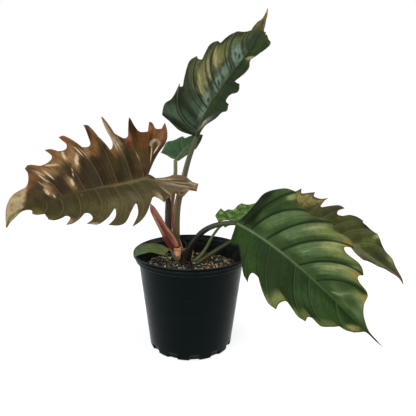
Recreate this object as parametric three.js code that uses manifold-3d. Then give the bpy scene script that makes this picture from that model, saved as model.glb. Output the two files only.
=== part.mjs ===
// A philodendron with lobed caramel and green leaves, growing in a black nursery pot.
// Millimetres, +Z up. The origin is the centre of the pot's base, +X is to the right and -Y to the front.
import * as THREE from "three";
import { mergeVertices } from "three/addons/utils/BufferGeometryUtils.js";
import Module from "manifold-3d";

const wasm = await Module();
wasm.setup();

const { lerp, clamp, degToRad } = THREE.MathUtils;
const { sin, cos, abs, PI, hypot, min, max } = Math;
const vec = (point) => new THREE.Vector3(...point);

// Clearance between neighbouring pieces.
const GAP = 0.3;

// The pot: a thin moulded nursery pot, 160 across its rolled lip.
const POT = {
  height: 136.5,
  lipRadius: 80,
  lipDepth: 4.5,
  collarRadius: 76.8,
  collarDepth: 11,
  shoulderRadius: 72.6,
  baseRadius: 58.4,
  baseRounding: 3,
  wall: 1.6,
  floor: 2,
  sides: 56,
};
const NOTCH = { count: 12, width: 13, height: 7, depth: 6 };

// The potting mix, a crumbly disc of bark, peat and perlite some way below the lip.
const MIX = { level: 110, mound: 5, sectors: 40, rings: 8, crumbs: 34, crumbSize: 3.2 };

// The short stem that every leaf grows from, with a peg that stands in a plain hole in the mix.
const STEM = {
  route: [[-9, 5, 84], [-9.5, 5, 106], [-10.5, 5, 118], [-13, 4.5, 131]],
  radii: [7, 8.5, 10, 6.5],
};

const BLADE_THICKNESS = 0.9;
const COLUMNS = [0.36, 0.7, 1];
// How far along a vein's length its first, straighter part points, and how much of a backward vein's
// slant it has from the start.
const VEIN_REACH = 0.65;
const BACK_SLANT = 0.8;
const SWEEP_AT = 50;

// Leaf stalks: route, radius at the stem and radius at the blade.
const STALK_SIDES = 8;
const STALK_STEPS = 3;
const STALKS = {
  stalk_caramel: {
    route: [
      [-14, 4, 120], [-27, 4, 142], [-33, 5, 166], [-34, 8, 187], [-35, 11, 207], [-44, 8, 225],
      [-54, 0, 236], [-57.4, -5, 239],
    ],
    base: 4.4,
    tip: 2.6,
    colour: 0x33242a,
  },
  stalk_top: {
    route: [
      [-14, 6, 120], [-21, 6, 140], [-21.7, 7, 165], [-20.2, 8, 195], [-16, 9, 216], [-10.5, 10, 240],
      [-6, 10, 258], [0, 10, 276], [5.2, 9.9, 292],
    ],
    base: 5,
    tip: 2.5,
    colour: 0x6f6644,
  },
  stalk_small_back: {
    route: [
      [-11, 12, 120], [-20, 18, 148], [-26, 19, 170], [-27, 17, 192], [-25, 19, 213],
      [-23, 22, 240], [-24, 25, 259],
    ],
    base: 2.5,
    tip: 1.8,
    colour: 0x66785a,
  },
  stalk_front: {
    route: [
      [-7, 1, 118], [1, -4, 145], [9, -6, 157], [17, -9, 166], [27, -13, 173], [38, -18, 178],
      [48, -23, 181], [60, -30, 183],
    ],
    base: 4.6,
    tip: 2.7,
    colour: 0x23291f,
  },
  stalk_small_right: {
    route: [
      [-3, 9, 114], [10, 9, 122], [21, 9, 137], [26, 9, 147], [31, 10, 156], [41, 12, 168],
      [54.6, 14, 174.9],
    ],
    base: 2.6,
    tip: 1.8,
    colour: 0x5c6338,
  },
  stalk_back: {
    route: [
      [-3, 1, 108], [13, 7, 118], [42, 14, 136], [62, 17, 148], [97, 20, 172], [134.6, 20, 200.8],
    ],
    base: 3.8,
    tip: 2.4,
    colour: 0x4a5233,
  },
  stalk_rim: {
    route: [
      [-13.5, -9, 105], [-14.5, -9.5, 113], [-18.3, -14, 122.9], [-22.2, -17, 130.3],
      [-25, -16.3, 136.4], [-28, -15, 140.2], [-30.5, -14.4, 141.1],
    ],
    base: 1.7,
    tip: 1.3,
    colour: 0x5c7044,
  },
};

// Blades. The midrib is a cubic curve from the junction to the tip, or with more points a smooth curve
// through them all; facing is the way the upper face looks at the junction and at the tip; fold is how
// far each half rises from flat, in degrees, at the junction and at the tip; arch is the further bend
// across each half in degrees per millimetre; lean is the angle at which veins leave the midrib at the
// junction and at the tip. The last three are given for the left half and then for the right. Sweep is
// how far the left half is carried aside at SWEEP_AT behind the junction.
// Outlines go round each half from the sinus to the leaf's tip on the flattened leaf: distance along
// the midrib, distance from it, and, where a lobe comes to a point, where its vein leaves the midrib.
const BLADES = {
  leaf_caramel: {
    midrib: [
      [-57, -8, 239], [-86.4, -34.7, 234.4], [-113.5, -64, 231.5], [-134.1, -92.1, 228.9],
      [-148.6, -118.1, 225.7], [-154.6, -132, 225.7], [-159.7, -145.5, 224.8], [-164.9, -160, 222.7],
      [-168.6, -168, 217.4], [-168.8, -174, 210.5],
    ],
    facing: [[0.52, -0.74, 0.43], [0.9, -0.17, 0.4]],
    sweep: [0.6, -16, 2.3],
    fold: [[25, 25], [14, 14]],
    arch: [0.1, 0.1],
    lean: [[116, 45], [92, 55]],
    quilt: 2.2,
    wave: 2.5,
    rib: 2.2,
    colour: 0x7b5a35,
    left: [
      [-37, 6], [-54, 15], [-63, 31, 0], [-53, 43, 0], [-44, 39], [-36, 41], [-26, 46, 1], [-20, 34],
      [-13, 38], [-7, 43, 2], [0, 43], [5, 46, 5], [10, 38], [14, 35], [28, 46], [42, 57], [54, 63],
      [71, 68, 32], [56, 58], [49, 50], [43, 37], [56, 46], [68, 55], [78, 59], [89, 59], [101, 55, 55],
      [88, 51], [81, 45], [76, 37], [90, 44], [102, 47], [113, 48], [128, 43, 81], [116, 41],
      [114, 33], [119, 30], [130, 32], [138, 34], [149, 34, 108], [141, 29], [144, 24], [152, 24],
      [165, 21, 130], [167, 18], [165, 14], [171, 11], [176, 8, 150], [174, 5], [178, 2.4], [187, 1.8],
      [196, 3], [203, 2],
    ],
    right: [
      [-34, 36], [-46, 56], [-42, 67, 0], [-38, 61], [-27, 61], [-18, 71, 2], [-19, 61], [-5, 59],
      [0, 61], [11, 80, 7], [15, 66], [20, 56], [25, 55], [34, 61], [44, 69], [54, 84, 25], [51, 68],
      [44, 51], [46, 45], [50, 43], [54, 53], [61, 61], [71, 67], [79, 76, 47], [77, 62], [76, 52],
      [80, 50], [96, 55], [105, 65], [113, 65, 68], [107, 59], [107, 51], [116, 50], [121, 52],
      [125, 54], [132, 54, 94], [127, 46], [131, 42], [143, 39], [161, 41], [166, 38, 126], [165, 33],
      [171, 21], [179, 19], [186, 17], [193, 12], [201, 5],
    ],
    tip: 209.5,
  },
  leaf_top: {
    midrib: [[5, 10, 292], [21, -9, 354], [87, -2, 397], [96, 25, 457]],
    facing: [[-0.5, -0.79, 0.35], [-0.5, -0.79, 0.35]],
    fold: [[30, 30], [30, 30]],
    arch: [0.05, 0.05],
    lean: [[82, 50], [92, 92]],
    quilt: 1.8,
    wave: 2,
    rib: 2.2,
    colour: 0x3c5239,
    left: [
      [0, 9], [1, 23], [10, 53, 0], [22, 54], [29, 49], [48, 49, 9], [45, 46], [48, 43], [62, 50],
      [72, 54], [77, 54], [85, 50, 40], [83, 47], [85, 42], [95, 44], [106, 46], [113, 44],
      [118, 40, 67], [117, 36], [127, 34], [137, 32], [145, 27, 100], [148, 20], [159, 11, 129],
      [171, 7], [181, 3.5],
    ],
    right: [
      [3, 9], [20, 20], [41, 39], [49, 43], [55, 56], [61, 51, 60], [62, 43], [70, 39], [77, 47],
      [85, 40, 86], [84, 26], [90, 28], [107, 28], [114, 22, 108], [120, 27], [125, 40], [131, 43],
      [141, 35, 125], [153, 17], [163, 7], [180, 2],
    ],
    tip: 196,
  },
  leaf_front: {
    midrib: [[60, -30, 183], [120, -70, 162], [176, -105, 107], [232, -110, 54]],
    facing: [[-0.19, -0.93, 0.32], [-0.19, -0.93, 0.32]],
    fold: [[10, 10], [10, 10]],
    arch: [-0.1, 0],
    lean: [[76, 35], [80, 32]],
    quilt: 2.6,
    wave: 2,
    rib: 2.4,
    colour: 0x40582f,
    left: [
      [4, 5], [10, 11], [12, 30], [15, 51], [28, 66], [34, 70], [44, 72, 11], [47, 67], [53, 62],
      [66, 60, 22], [64, 57], [71, 57], [82, 64], [95, 67, 46], [99, 61], [113, 65], [120, 65],
      [128, 60, 69], [120, 53], [125, 50], [143, 51], [150, 49], [156, 44, 97], [152, 40], [155, 36],
      [172, 33], [176, 30, 124], [179, 21], [187, 13], [197, 7.5], [204, 4], [214, 1.8],
    ],
    right: [
      [3, 8], [4, 20], [6, 25, 2], [12, 25], [20, 24], [35, 38], [50, 51], [61, 55, 27], [58, 49],
      [58, 43], [65, 42], [73, 44], [88, 54], [100, 58], [111, 57, 55], [109, 50], [113, 42],
      [124, 43], [136, 45], [146, 43, 94], [144, 38], [148, 35], [163, 34], [172, 26, 115], [179, 18],
      [186, 17], [194, 12, 157], [198, 7], [203, 3.5], [214, 1.8],
    ],
    tip: 233,
  },
  leaf_back: {
    midrib: [
      [135, 20, 201], [169.9, 18.4, 181.6], [204.1, 13.8, 161.3], [237, 5.9, 140], [260, -2, 124],
      [275.5, -7, 115], [284.5, -13, 109], [289, -18, 104.2], [290.5, -22, 99.2],
    ],
    facing: [[0.25, -0.72, 0.65], [0.25, -0.72, 0.65]],
    fold: [[10, 10], [25, 25]],
    arch: [0.1, 0.1],
    lean: [[76, 45], [76, 45]],
    quilt: 2,
    wave: 2,
    rib: 2,
    colour: 0x55592c,
    left: [
      [-8, 6], [-7, 15, 0], [0, 19], [10, 32, 6], [12, 24], [23, 33], [30, 38, 18], [30, 30],
      [38, 32], [50, 41, 33], [46, 32], [45, 21], [59, 34], [68, 41], [76, 41, 52], [69, 30], [70, 25],
      [78, 28], [86, 37], [95, 41], [105, 41, 72], [106, 37], [118, 37], [129, 37, 88], [140, 28],
      [153, 23], [164, 18, 112], [173, 9], [184, 3.5],
    ],
    right: [
      [-13, 16], [-13, 28, 0], [2, 30], [15, 36, 3], [17, 28], [30, 33], [44, 42, 20], [43, 32],
      [58, 35], [76, 42, 50], [73, 31], [90, 32], [106, 34, 78], [105, 21], [116, 11], [131, 22, 102],
      [141, 17], [150, 14], [162, 7], [176, 5], [186, 2],
    ],
    tip: 196,
  },
  leaf_small_right: {
    midrib: [[55, 14, 175], [78, 20, 184], [100, 27, 193], [122, 33, 196]],
    facing: [[0, -0.7, 0.7], [0, -0.7, 0.7]],
    fold: [[15, 15], [45, 45]],
    arch: [0.05, 0.05],
    lean: [[75, 50], [75, 50]],
    quilt: 1,
    wave: 1.5,
    rib: 1.5,
    colour: 0x547a3c,
    left: [
      [-17, 5], [-17, 16, 0], [-11, 20], [-5, 23, 1], [-3, 17], [4, 17], [11, 14], [19, 17],
      [25, 18, 13], [31, 13], [44, 11, 30], [56, 7],
    ],
    right: [
      [-14, 6], [-14, 15, 0], [-5, 20], [4, 17], [12, 17], [20, 20, 12], [30, 16], [44, 13, 30], [56, 8],
    ],
    tip: 73,
  },
  leaf_small_back: {
    midrib: [[-24, 25, 259], [-16, 26, 272], [-3, 30, 284], [14, 34, 294]],
    facing: [[0.1, -1, 0.1], [0.1, -1, 0.1]],
    fold: [[15, 15], [15, 15]],
    arch: [0.05, 0.05],
    lean: [[75, 50], [75, 50]],
    quilt: 0.8,
    wave: 1,
    rib: 1.5,
    colour: 0x466a4a,
    left: [
      [-1, 6], [-1, 14], [-2, 23, 2], [5, 24], [11, 25], [18, 19], [29, 15, 18], [30, 11], [36, 9],
      [46, 5],
    ],
    right: [[2, 5], [8, 7], [16, 9], [24, 10], [33, 11, 24], [39, 9], [47, 5]],
    tip: 53,
  },
  leaf_rim: {
    midrib: [[-30, -14.4, 141], [-42, -17, 147], [-60, -27, 150], [-71, -38, 139]],
    facing: [[0, -0.25, 0.97], [0, -0.25, 0.97]],
    fold: [[-4, -4], [5, 5]],
    arch: [-0.8, -0.3],
    lean: [[70, 45], [70, 45]],
    quilt: 0.6,
    wave: 0.8,
    rib: 1.2,
    colour: 0x4d6b3a,
    left: [[1, 5], [7, 13], [14, 16], [22, 14], [30, 9], [40, 6], [46, 3]],
    right: [[4, 2.5], [9, 6], [18, 9], [28, 12], [36, 14], [43, 11], [48, 5]],
    tip: 52,
  },
  // The pink sheath that wrapped the newest leaf, folded along a keel.
  leaf_sheath: {
    midrib: [[-20.2, -8, 139.5], [-31.9, -9.4, 157.6], [-46, -10, 179.6], [-54.7, -12, 203.2]],
    facing: [[-0.2, -0.95, -0.1], [-0.2, -0.95, -0.1]],
    fold: [[38, 30], [14, 14]],
    arch: [1, 0.6],
    lean: [[60, 45], [60, 45]],
    quilt: 0,
    wave: 0,
    rib: 0.6,
    thickness: 1.2,
    colour: 0xa85a52,
    left: [[0.5, 6], [8, 7.5], [22, 7], [33, 5.5], [48, 4.5], [65, 3.5]],
    right: [[0.5, 6], [5, 8], [12, 10], [22, 10.5], [36, 8.5], [52, 7.5], [68, 4]],
    tip: 73,
  },
};

// The dried stump of an older sheath, at the foot of the pink one.
const STUMP = {
  route: [[-17, -5, 124], [-18, -8, 130], [-19, -8.6, 141]],
  radii: [3, 5, 4.2],
  colour: 0xc58a62,
};

// Solids. A geometry's triangles become one closed solid once its shared corners are merged.
function solidOf(geometry) {
  const bare = geometry.clone();
  bare.deleteAttribute("normal");
  bare.deleteAttribute("uv");
  const merged = mergeVertices(bare, 1e-4);
  return new wasm.Manifold(
    new wasm.Mesh({
      numProp: 3,
      vertProperties: new Float32Array(merged.attributes.position.array),
      triVerts: new Uint32Array(merged.index.array),
    }),
  );
}

function largestBody(solid) {
  return solid.decompose().reduce((a, b) => (a.volume() > b.volume() ? a : b));
}

function meshOf(name, solid, colour, roughness) {
  const { numVert, numProp, vertProperties, triVerts } = solid.getMesh();
  const corners = new Float32Array(numVert * 3);
  for (let i = 0; i < numVert; i++) {
    corners.set(vertProperties.subarray(i * numProp, i * numProp + 3), i * 3);
  }
  const geometry = new THREE.BufferGeometry();
  geometry.setAttribute("position", new THREE.BufferAttribute(corners, 3));
  geometry.setIndex(new THREE.BufferAttribute(triVerts, 1));
  geometry.computeVertexNormals();
  const material = new THREE.MeshStandardMaterial({ color: colour, roughness, metalness: 0 });
  const mesh = new THREE.Mesh(geometry, material);
  mesh.name = name;
  return mesh;
}

function geometryOf(points, triangles) {
  const geometry = new THREE.BufferGeometry().setFromPoints(points);
  geometry.setIndex(triangles);
  return geometry;
}

// A stalk: rings of corners along a smooth route, closed by a fan at each end.
function limb(route, radii, sides, steps) {
  const curve = new THREE.CatmullRomCurve3(route.map(vec), false, "centripetal");
  const frames = curve.computeFrenetFrames(steps, false);
  const points = [];
  const triangles = [];
  for (let i = 0; i <= steps; i++) {
    const at = curve.getPointAt(i / steps);
    const span = (i / steps) * (radii.length - 1);
    const from = min(Math.floor(span), radii.length - 2);
    const radius = lerp(radii[from], radii[from + 1], span - from);
    for (let j = 0; j < sides; j++) {
      const turn = (2 * PI * j) / sides;
      points.push(
        at.clone()
          .addScaledVector(frames.normals[i], radius * cos(turn))
          .addScaledVector(frames.binormals[i], radius * sin(turn)),
      );
    }
  }
  const first = points.push(curve.getPointAt(0)) - 1;
  const last = points.push(curve.getPointAt(1)) - 1;
  for (let j = 0; j < sides; j++) {
    const next = (j + 1) % sides;
    triangles.push(first, next, j);
    triangles.push(last, steps * sides + j, steps * sides + next);
    for (let i = 0; i < steps; i++) {
      const a = i * sides + j;
      const b = i * sides + next;
      triangles.push(a, b, b + sides, a, b + sides, a + sides);
    }
  }
  return geometryOf(points, triangles);
}

function stalk({ route, base, tip }, grow = 0) {
  const radii = [base, lerp(base, tip, 0.6), tip].map((radius) => radius + grow);
  return solidOf(limb(route, radii, STALK_SIDES, STALK_STEPS * (route.length - 1)));
}

// The place of a point of a flattened blade, and the way its upper face looks there.
function bladeSurface(blade, x, y) {
  const along = clamp(x / blade.reach, 0, 1);
  const forward = blade.curve.getTangentAt(along);
  const place = blade.curve.getPointAt(along).addScaledVector(forward, x - along * blade.reach);
  const facing = vec(blade.facing[0]).lerp(vec(blade.facing[1]), along);
  facing.addScaledVector(forward, -facing.dot(forward)).normalize();
  const side = y < 0 ? 1 : 0;
  const outward = new THREE.Vector3().crossVectors(facing, forward).multiplyScalar(side ? -1 : 1);
  const start = degToRad(lerp(blade.fold[side][0], blade.fold[side][1], along));
  const bend = degToRad(blade.arch[side] || 1e-4);
  const end = start + bend * abs(y);
  place.addScaledVector(outward, (sin(end) - sin(start)) / bend);
  place.addScaledVector(facing, (cos(start) - cos(end)) / bend);
  if (blade.sweep && !side) place.addScaledVector(vec(blade.sweep), (min(x, 0) / SWEEP_AT) ** 2);
  const normal = facing.multiplyScalar(cos(end)).addScaledVector(outward, -sin(end));
  return { place, normal };
}

// Where on the midrib the vein to each outline point starts, and how far the point is from the lobe
// before it to the next one.
function veinFeet(outline, tip) {
  const isLobe = ([, , foot]) => foot !== undefined;
  const along = [0];
  for (let i = 1; i < outline.length; i++) {
    const [a, b] = [outline[i - 1], outline[i]];
    along.push(along[i - 1] + hypot(b[0] - a[0], b[1] - a[1]));
  }
  const lobes = outline.map((point, i) => [along[i], point[2]]).filter((_, i) => isLobe(outline[i]));
  const stops = [[-1, 0], ...lobes, [along.at(-1) + 1, tip]];
  return along.map((reach) => {
    const k = stops.findLastIndex(([from]) => from <= reach);
    const [from, to] = [stops[k], stops[k + 1]];
    const phase = (reach - from[0]) / (to[0] - from[0]);
    return { foot: lerp(from[1], to[1], phase), phase };
  });
}

// One half of a blade: rows of points from the midrib out to the outline, along its veins.
function halfRows(blade, outline, side) {
  const [leanBase, leanTip] = blade.lean[side > 0 ? 0 : 1].map(degToRad);
  const feet = veinFeet(outline, blade.tip);
  return outline.map(([x, y], i) => {
    const { foot, phase } = feet[i];
    const ribHalf = ribWidth(blade, foot);
    const length = hypot(x - foot, y - ribHalf);
    const chord = Math.atan2(y - ribHalf, x - foot);
    const lean = lerp(leanBase, leanTip, foot / blade.tip);
    const start = max(lean, lerp(lean, chord, BACK_SLANT));
    const reach = VEIN_REACH * length;
    const control = [foot + reach * cos(start), ribHalf + reach * sin(start)];
    return [0, ...COLUMNS].map((t) => {
      const across = (a, b, c) => (1 - t) ** 2 * a + 2 * t * (1 - t) * b + t * t * c;
      const flatX = across(foot, control[0], x);
      const flatY = across(ribHalf, control[1], y);
      const { place, normal } = bladeSurface(blade, flatX, side * flatY);
      const puff = blade.quilt * sin(PI * phase) ** 2 * sin(PI * min(0.15 + t, 1));
      const ripple = blade.wave * t * t * sin(2 * PI * phase) * min(1, y / 25);
      return { x: foot, place: place.addScaledVector(normal, puff + ripple) };
    });
  });
}

const ribWidth = (blade, x) => lerp(blade.rib, 0.7, clamp(x / blade.tip, 0, 1));

// Triangles between two rows of numbered points that run the same way along the leaf.
function zip(lower, upper, triangles) {
  let i = 0;
  let j = 0;
  while (i < lower.length - 1 || j < upper.length - 1) {
    const upperDone = j === upper.length - 1;
    const stepLower = upperDone || (i < lower.length - 1 && lower[i + 1].x < upper[j + 1].x);
    if (stepLower) triangles.push(lower[i].id, lower[i + 1].id, upper[j].id);
    else triangles.push(lower[i].id, upper[j + 1].id, upper[j].id);
    if (stepLower) i++;
    else j++;
  }
}

// A blade: one sheet of triangles through the veins, given thickness by a like sheet beneath it,
// with a keel under the midrib.
function bladeSolid(spec) {
  const knots = spec.midrib.map(vec);
  const cubic = knots.length === 4;
  const curve = cubic
    ? new THREE.CubicBezierCurve3(...knots)
    : new THREE.CatmullRomCurve3(knots, false, "centripetal");
  const blade = { ...spec, curve, reach: curve.getLength() };
  const thickness = spec.thickness ?? BLADE_THICKNESS;
  const sheet = [];
  const keel = [];
  const number = (point, depth = 0) => {
    keel.push(depth);
    return { x: point.x, id: sheet.push(point.place) - 1 };
  };
  const halves = [1, -1].map((side) =>
    halfRows(blade, side > 0 ? spec.left : spec.right, side).map((row) => row.map((p) => number(p))),
  );
  const ribSteps = Math.round(spec.tip / 9);
  const rib = [];
  for (let i = 0; i < ribSteps; i++) {
    const x = (spec.tip * i) / ribSteps;
    rib.push(number({ x, place: bladeSurface(blade, x, 0).place }, ribWidth(blade, x)));
  }
  const end = number({ x: spec.tip, place: bladeSurface(blade, spec.tip, 0).place });
  rib.push(end);
  const triangles = [];
  halves.forEach((rows, half) => {
    const inner = [...rows.map((row) => row[0]), end];
    const faces = [];
    zip(rib, inner, faces);
    rows.forEach((row, i) => {
      const next = rows[i + 1] ?? row.map(() => end);
      for (let k = 0; k + 1 < row.length; k++) {
        faces.push(row[k].id, next[k].id, next[k + 1].id, row[k].id, next[k + 1].id, row[k + 1].id);
      }
    });
    for (let f = 0; f < faces.length; f += 3) {
      const [a, b, c] = faces.slice(f, f + 3);
      if (a === b || b === c || a === c) continue;
      triangles.push(...(half === 0 ? [a, b, c] : [a, c, b]));
    }
  });
  return thicken(sheet, triangles, thickness, keel);
}

// The solid between a sheet and the same sheet set back by its thickness, walled along the edge.
function thicken(sheet, triangles, thickness, keel) {
  const face = geometryOf(sheet, triangles);
  face.computeVertexNormals();
  const normals = face.attributes.normal;
  const count = sheet.length;
  const back = sheet.map((point, i) => {
    const normal = new THREE.Vector3().fromBufferAttribute(normals, i);
    return point.clone().addScaledVector(normal, -thickness - keel[i]);
  });
  const all = [...triangles];
  const edges = new Set();
  for (let f = 0; f < triangles.length; f += 3) {
    const [a, b, c] = triangles.slice(f, f + 3);
    all.push(a + count, c + count, b + count);
    for (const [p, q] of [[a, b], [b, c], [c, a]]) edges.add(`${p},${q}`);
  }
  for (const edge of edges) {
    const [p, q] = edge.split(",").map(Number);
    if (edges.has(`${q},${p}`)) continue;
    all.push(q, p, p + count, q, p + count, q + count);
  }
  return solidOf(geometryOf([...sheet, ...back], all));
}

// The pot: a turned shell whose bottom corner has a ring of drainage notches.
function potSolid() {
  const p = POT;
  const collarFoot = p.height - p.collarDepth;
  const lipFoot = p.height - p.lipDepth;
  const outline = [
    [0, 0],
    [p.baseRadius - p.baseRounding, 0],
    [p.baseRadius - 0.3 * p.baseRounding, 0.3 * p.baseRounding],
    [p.baseRadius, p.baseRounding],
    [p.shoulderRadius, collarFoot - 1.5],
    [p.collarRadius, collarFoot],
    [p.collarRadius + 0.4, lipFoot - 0.6],
    [p.lipRadius, lipFoot],
    [p.lipRadius, p.height - 0.8],
    [p.lipRadius - 0.8, p.height],
    [p.lipRadius - 1.8, p.height],
    [p.collarRadius - p.wall, lipFoot - 1.5],
    [p.collarRadius - p.wall - 0.4, collarFoot - 0.5],
    [p.shoulderRadius - p.wall, collarFoot - 2.5],
    [p.baseRadius - p.wall, p.baseRounding + 1],
    [p.baseRadius - p.baseRounding - p.wall, p.floor],
    [0, p.floor],
  ];
  const profile = outline.map(([r, z]) => new THREE.Vector2(r, z));
  const turned = new THREE.LatheGeometry(profile, p.sides);
  turned.rotateX(PI / 2);
  let pot = solidOf(turned);
  for (let i = 0; i < NOTCH.count; i++) {
    const cutter = new THREE.BoxGeometry(2 * NOTCH.depth, NOTCH.width, 2 * NOTCH.height);
    cutter.translate(p.baseRadius + 0.5, 0, 0);
    cutter.rotateZ((2 * PI * (i + 0.25)) / NOTCH.count);
    pot = pot.subtract(solidOf(cutter));
  }
  return pot;
}

// A fixed pattern of pseudo-random numbers from 0 to 1.
function seeded(seed) {
  let state = seed;
  return () => {
    state = (state * 16807) % 2147483647;
    return state / 2147483647;
  };
}

const mixLevel = (x, y) =>
  MIX.level +
  MIX.mound * (1 - (hypot(x, y) / POT.shoulderRadius) ** 2) * 0.8 +
  1.1 * sin(0.21 * x + 1) * cos(0.17 * y) +
  0.8 * sin(0.43 * y + 0.31 * x);

// The mix: a turned block with a lumpy top, crumbs sunk into it and a plain hole for the stem.
function mixSolid(stemRoom) {
  const wallAt = (z) => {
    const up = (z - POT.baseRounding) / (POT.height - POT.collarDepth - 1.5 - POT.baseRounding);
    return lerp(POT.baseRadius, POT.shoulderRadius, up) - POT.wall - 2 * GAP;
  };
  const foot = POT.baseRounding + 2 * NOTCH.height - 4;
  const points = [new THREE.Vector3(0, 0, foot)];
  const triangles = [];
  const ring = (radius, z) => {
    const start = points.length;
    for (let j = 0; j < MIX.sectors; j++) {
      const turn = (2 * PI * j) / MIX.sectors;
      const [x, y] = [radius * cos(turn), radius * sin(turn)];
      points.push(new THREE.Vector3(x, y, z ?? mixLevel(x, y)));
    }
    return start;
  };
  const starts = [ring(wallAt(foot), foot)];
  for (let k = 0; k < MIX.rings; k++) {
    starts.push(ring(wallAt(MIX.level - 1) * (1 - k / MIX.rings)));
  }
  const top = points.push(new THREE.Vector3(0, 0, mixLevel(0, 0))) - 1;
  for (let j = 0; j < MIX.sectors; j++) {
    const next = (j + 1) % MIX.sectors;
    triangles.push(0, starts[0] + next, starts[0] + j);
    triangles.push(top, starts.at(-1) + j, starts.at(-1) + next);
    for (let k = 0; k + 1 < starts.length; k++) {
      const [a, b] = [starts[k] + j, starts[k] + next];
      const [c, d] = [starts[k + 1] + j, starts[k + 1] + next];
      triangles.push(a, b, d, a, d, c);
    }
  }
  let mix = solidOf(geometryOf(points, triangles));
  const draw = seeded(7);
  for (let i = 0; i < MIX.crumbs; i++) {
    const size = MIX.crumbSize * (0.7 + 0.8 * draw());
    const crumb = new THREE.IcosahedronGeometry(size, 0);
    crumb.scale(1, 0.6 + 0.4 * draw(), 0.55);
    crumb.rotateZ(2 * PI * draw());
    const radius = 66 * Math.sqrt(draw());
    const turn = 2 * PI * draw();
    const [x, y] = [radius * cos(turn), radius * sin(turn)];
    crumb.translate(x, y, mixLevel(x, y) + 0.2 * size);
    mix = mix.add(solidOf(crumb));
  }
  return mix.subtract(stemRoom);
}

// Assembly. Each piece is cut clear of the grown-out shapes of those placed before it.
const plant = new THREE.Group();
const taken = [];

function place(name, solid, grown, colour, roughness) {
  let clear = solid;
  for (const room of taken) clear = clear.subtract(room);
  plant.add(meshOf(name, largestBody(clear), colour, roughness));
  if (grown) taken.push(grown);
}

const stemOf = (grow) => solidOf(limb(STEM.route, STEM.radii.map((radius) => radius + grow), 14, 12));

plant.add(meshOf("nursery_pot", potSolid(), 0x1c1f21, 0.45));
for (const [name, spec] of Object.entries(STALKS)) {
  place(name, stalk(spec), stalk(spec, GAP), spec.colour, 0.45);
}
const stumpOf = (grow) => solidOf(limb(STUMP.route, STUMP.radii.map((radius) => radius + grow), 10, 6));
place("dry_sheath", stumpOf(0), stumpOf(GAP), STUMP.colour, 0.7);
place("crown_stem", stemOf(0), stemOf(GAP), 0x2a2620, 0.8);
for (const [name, spec] of Object.entries(BLADES)) {
  place(name, bladeSolid(spec), null, spec.colour, 0.35);
}
place("potting_mix", mixSolid(stemOf(GAP)), null, 0x3a2d22, 0.95);

export default plant;
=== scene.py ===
"""Looks for a potted philodendron with lobed caramel and green leaves.

Lengths in the tables are millimetres in the part's own frame; meshes are made in metres.
"""

import bpy
import math
from itertools import combinations
from types import SimpleNamespace
import numpy as np
from mathutils import Matrix, Vector


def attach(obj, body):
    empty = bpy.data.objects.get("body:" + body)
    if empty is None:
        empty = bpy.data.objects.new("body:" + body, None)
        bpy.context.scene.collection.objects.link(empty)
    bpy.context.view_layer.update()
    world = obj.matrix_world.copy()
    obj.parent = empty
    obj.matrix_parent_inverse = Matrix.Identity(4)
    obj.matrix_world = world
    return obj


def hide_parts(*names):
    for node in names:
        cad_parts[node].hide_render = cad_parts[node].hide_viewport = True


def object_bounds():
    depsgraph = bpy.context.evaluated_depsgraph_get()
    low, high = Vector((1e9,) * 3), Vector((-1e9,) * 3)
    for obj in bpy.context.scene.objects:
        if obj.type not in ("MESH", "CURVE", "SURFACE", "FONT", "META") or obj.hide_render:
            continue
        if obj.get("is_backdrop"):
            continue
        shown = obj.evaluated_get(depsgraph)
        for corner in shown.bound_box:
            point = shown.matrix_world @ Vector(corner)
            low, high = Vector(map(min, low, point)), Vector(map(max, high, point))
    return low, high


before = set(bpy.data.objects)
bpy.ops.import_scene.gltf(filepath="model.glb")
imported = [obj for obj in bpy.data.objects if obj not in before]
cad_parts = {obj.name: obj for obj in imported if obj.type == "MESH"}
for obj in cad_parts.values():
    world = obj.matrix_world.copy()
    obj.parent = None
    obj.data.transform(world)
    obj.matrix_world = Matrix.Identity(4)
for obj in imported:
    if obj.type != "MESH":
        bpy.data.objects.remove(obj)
cad_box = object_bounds()

MM = 0.001

# The pot, as in the part's source.
POT_HEIGHT = 136.5
LIP_RADIUS = 80
LIP_DEPTH = 4.5
COLLAR_RADIUS = 76.8
COLLAR_DEPTH = 11
SHOULDER_RADIUS = 72.6
SHOULDER_HEIGHT = POT_HEIGHT - COLLAR_DEPTH - 1.5
BASE_RADIUS = 58.4
BASE_ROUNDING = 3
WALL = 1.6
POT_FLOOR = 2
NOTCH_COUNT = 12
NOTCH_WIDTH = 13
NOTCH_HEIGHT = 7
MIX_LEVEL = 110
MIX_MOUND = 5
STEM_ROUTE = ((-9, 5, 84), (-9.5, 5, 106), (-10.5, 5, 118), (-13, 4.5, 131))
STEM_RADII = (7, 8.5, 10, 6.5)
STUMP_ROUTE = ((-17, -5, 124), (-18, -8, 130), (-19, -8.6, 141))
STUMP_RADII = (2.2, 5.2, 5.2)

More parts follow.
